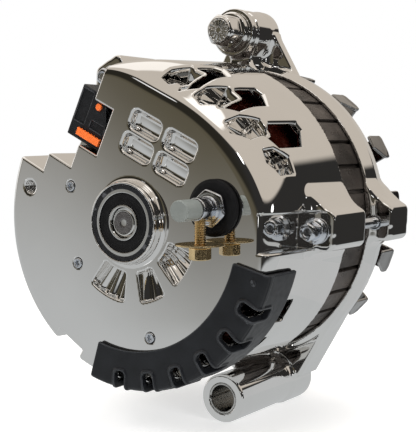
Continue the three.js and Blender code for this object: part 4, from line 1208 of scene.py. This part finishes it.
def foot_sleeve():
    def field(p):
        a, b, y = p[:, 0] - FOOT["x"], p[:, 2] - FOOT["z"], p[:, 1]
        r = np.hypot(a, b)
        wall = meet(np.maximum(r - FOOT["sleeve"], FOOT["bore"] - r), slab(y, 50.1, 123.9), 0.3)
        slit = np.maximum(np.abs(b) - 0.6, a)
        return np.maximum(wall, -slit)
    return carved_round(field, FOOT["x"], FOOT["z"], 8.5, 50, 124, 0.4)


def fasteners():
    for i, angle in enumerate(BOLT["angles"]):
        piece(f"flange_bolt_{i + 1}", flange_bolt(*polar(BOLT["circle"], angle)), zinc, "bright_steel",
              f"through_bolt_{i + 1}")
    for i, place in enumerate(FACE_SCREWS):
        piece(f"flush_screw_{i + 1}", face_screw(*place), zinc, "bright_steel", f"face_screw_{i + 1}")
    piece("ear_hex_bolt", ear_bolt(), chrome, "chrome_sheet", "ear_bolt")
    piece("foot_sleeve", foot_sleeve(), ground, "bright_steel", "foot_bushing")


castings()
piece("stator_stack", stator_core(), sheets, "lamination_steel", "stator_core", crease=25)
piece("stator_wires", stator_winding(), enamel, "winding_copper", "stator_winding")
bearings()
rotor()
drive_side()
brush_gear()
electrics()
connector()
terminal()
baffle()
fasteners()


# ---------------------------------------------------------------- stage, light and camera
WALL_LEAN = (0.829, -0.559, 0)      # level direction towards which the dark wall's lower edge comes down
TABLE_RADIUS = 0.42                 # of the pale table that only chrome sees, in metres
CARD_WAY = (0.83, -0.556)           # level direction of the foot card's edges
# Soft lamps of the studio: direction, half-width in degrees, brightness.
LAMPS = (
    ((0.94, 0.20, 0.26), 2.6, 3.0),
    ((0.86, -0.50, 0.02), 3.6, 3.6),
    ((0.40, -0.62, 0.68), 3.2, 4.0),
    ((0.30, -0.95, 0.12), 2.4, 2.6),
    ((-0.35, -0.75, 0.56), 3.0, 0.9),
    ((-0.50, -0.82, -0.29), 2.6, 1.6),
    ((0.10, -0.35, 0.93), 12.0, 0.7),
    ((-0.52, 0.32, 0.79), 24.0, 0.5),
    ((-0.95, -0.25, 0.15), 12.0, 0.6),
)


def world_light():
    """A studio as chrome sees it: a dark wall, a pale ceiling, a pale floor and small soft lamps."""
    world = bpy.data.worlds.new("studio")
    bpy.context.scene.world = world
    maker = Nodes(world)
    way = maker.new("TexCoord").outputs["Generated"]
    x, y, z = maker.new("SeparateXYZ", {0: way}).outputs
    level = maker.maths("ADD", maker.maths("MULTIPLY", x, x), maker.maths("MULTIPLY", y, y))
    level = maker.maths("MAXIMUM", maker.maths("SQRT", level), 0.001)

    def heading(azimuth):
        """Cosine of the level angle between a direction and an azimuth in degrees."""
        return maker.maths("DIVIDE", maker.dot(way, (*polar(1, azimuth), 0)), level)

    behind = maker.smooth(heading(59), -0.6, 1.0)
    front_left = maker.smooth(heading(-124), 0.45, 0.95)
    top = maker.smooth(behind, 0, 1, 0.70, 0.34)
    low_start = maker.smooth(front_left, 0, 1, -0.28, -0.235)
    low_end = maker.smooth(front_left, 0, 1, -0.20, 0.10)
    lean = maker.smooth(maker.dot(way, WALL_LEAN), -0.19, 0.02, -0.07, 0.07)
    height = maker.maths("ADD", z, maker.maths("MULTIPLY", lean, front_left))
    above = maker.smooth(height, low_start, low_end)
    soft_edge = maker.maths("SUBTRACT", top, 0.025), maker.maths("ADD", top, 0.025)
    below = maker.maths("SUBTRACT", 1.0, maker.smooth(z, *soft_edge))
    facing_wall = maker.smooth(heading(-40), -0.52, -0.36)
    wall = maker.maths("MULTIPLY", maker.maths("MULTIPLY", above, below), facing_wall)
    olive = maker.mix(maker.smooth(z, 0.10, 0.26), (0.10, 0.088, 0.06), (0.022, 0.020, 0.015))
    wall_colour = maker.mix(front_left, (0.028, 0.027, 0.026), olive)
    pale = maker.mix(maker.smooth(z, -0.15, 0.35), (0.50, 0.515, 0.52), (0.58, 0.525, 0.46))
    colour = maker.mix(wall, pale, wall_colour)
    total = 0.0
    for lamp_way, width, power in LAMPS:
        edge, full = math.cos(math.radians(width)), math.cos(math.radians(width * 0.75))
        total = maker.maths("ADD", total, maker.smooth(maker.dot(way, lamp_way), edge, full, 0, power))
    lit = maker.mix(1, colour, total, "ADD")
    seen = maker.new("LightPath").outputs["Is Camera Ray"]
    maker.put(maker.nodes["Background"].inputs["Color"], maker.mix(seen, lit, (1.0, 1.0, 1.0)))


def area_light(name, place, target, size, power, colour=(1, 1, 1)):
    """A soft light that chrome doesn't mirror."""
    light = bpy.data.lights.new(name, "AREA")
    light.shape = "RECTANGLE"
    light.size, light.size_y = size
    light.energy = power
    light.color = colour
    holder = placed(name, light)
    holder.location = place
    holder.rotation_euler = (Vector(target) - Vector(place)).to_track_quat("-Z", "Y").to_euler()
    holder.visible_glossy = False


def camera():
    """A long lens from behind and to the right, a little above the shaft."""
    azimuth, elevation = math.radians(VIEW["azimuth"]), math.radians(VIEW["elevation"])
    right = Vector((math.cos(azimuth), math.sin(azimuth), 0))
    back = Vector((math.sin(azimuth) * math.cos(elevation), -math.cos(azimuth) * math.cos(elevation),
                   math.sin(elevation)))
    up = back.cross(right)
    place = VIEW["right"] * right + VIEW["up"] * up + VIEW["back"] * back
    lens = bpy.data.cameras.new("camera")
    lens.sensor_width = 36
    lens.lens = VIEW["lens"]
    lens.clip_start = 0.01
    holder = placed("camera", lens)
    rotation = Matrix((right, up, back)).transposed()
    holder.matrix_world = Matrix.Translation(Vector(to_frame(place))) @ rotation.to_4x4()
    bpy.context.scene.camera = holder


def stage_material(name, inputs, fade=None):
    """A plain material that can fade away between two distances from the origin."""
    made = bpy.data.materials.new(name)
    maker = Nodes(made)
    shader = maker.nodes["Principled BSDF"]
    for socket, value in inputs.items():
        maker.put(shader.inputs[socket], value)
    if fade:
        place = maker.new("TexCoord").outputs["Object"]
        length = maker.new("VectorMath", {0: place}, operation="LENGTH").outputs["Value"]
        maker.put(shader.inputs["Alpha"], maker.smooth(length, *fade, 1.0, 0.0))
    return made


def sheet(name, corners, made):
    """A flat object of one face."""
    mesh = bpy.data.meshes.new(name)
    mesh.from_pydata([tuple(corner) for corner in corners], [], [tuple(range(len(corners)))])
    mesh.materials.append(made)
    return placed(name, mesh)


def floor():
    """A pale floor that fades into the white surroundings."""
    low, reach = cad_box[0][2], 1.3
    corners = [(a * reach, b * reach, low) for a, b in ((-1, -1), (1, -1), (1, 1), (-1, 1))]
    made = stage_material("studio_floor", {"Base Color": (0.62, 0.62, 0.62), "Roughness": 0.7,
                                           "Emission Color": (1, 1, 1), "Emission Strength": 0.52},
                          fade=(0.35, 1.1))
    plane = sheet("floor", corners, made)
    plane.visible_glossy = False


def glowing_card(name, corners, colour, fade=None):
    """A pale card that only chrome sees, as the floor and a bounce card beside the foot."""
    made = stage_material(name, {"Base Color": (0, 0, 0), "Specular IOR Level": 0,
                                 "Emission Color": colour, "Emission Strength": 1.0}, fade)
    card = sheet(name, corners, made)
    for ray in ("camera", "diffuse", "shadow", "transmission"):
        setattr(card, f"visible_{ray}", False)


def cards():
    low = cad_box[0][2] + 0.0005
    table = [(*polar(TABLE_RADIUS, i * 360 / 64), low) for i in range(64)]
    glowing_card("table_card", table, (0.50, 0.515, 0.52), fade=(0.22, TABLE_RADIUS))
    middle, half, top = (110, 160), 60, -56
    ends = [(middle[0] + s * half * CARD_WAY[0], middle[1] + s * half * CARD_WAY[1]) for s in (-1, 1)]
    bottom = (low - ORIGIN[2]) * 1000
    corners = [(*ends[0], bottom), (*ends[1], bottom), (*ends[1], top), (*ends[0], top)]
    glowing_card("foot_card", to_frame(corners), (0.52, 0.53, 0.535))


bpy.context.scene.view_settings.view_transform = "Standard"
world_light()
cards()
floor()
camera()
centre = tuple(to_frame((0, 40, 0)))
area_light("key", (-0.2, -0.9, 0.9), centre, (0.7, 0.5), 9)
area_light("side", (0.9, -0.3, 0.5), centre, (0.5, 0.5), 5)
area_light("top", (0.0, 0.2, 1.2), centre, (1.2, 1.2), 12)
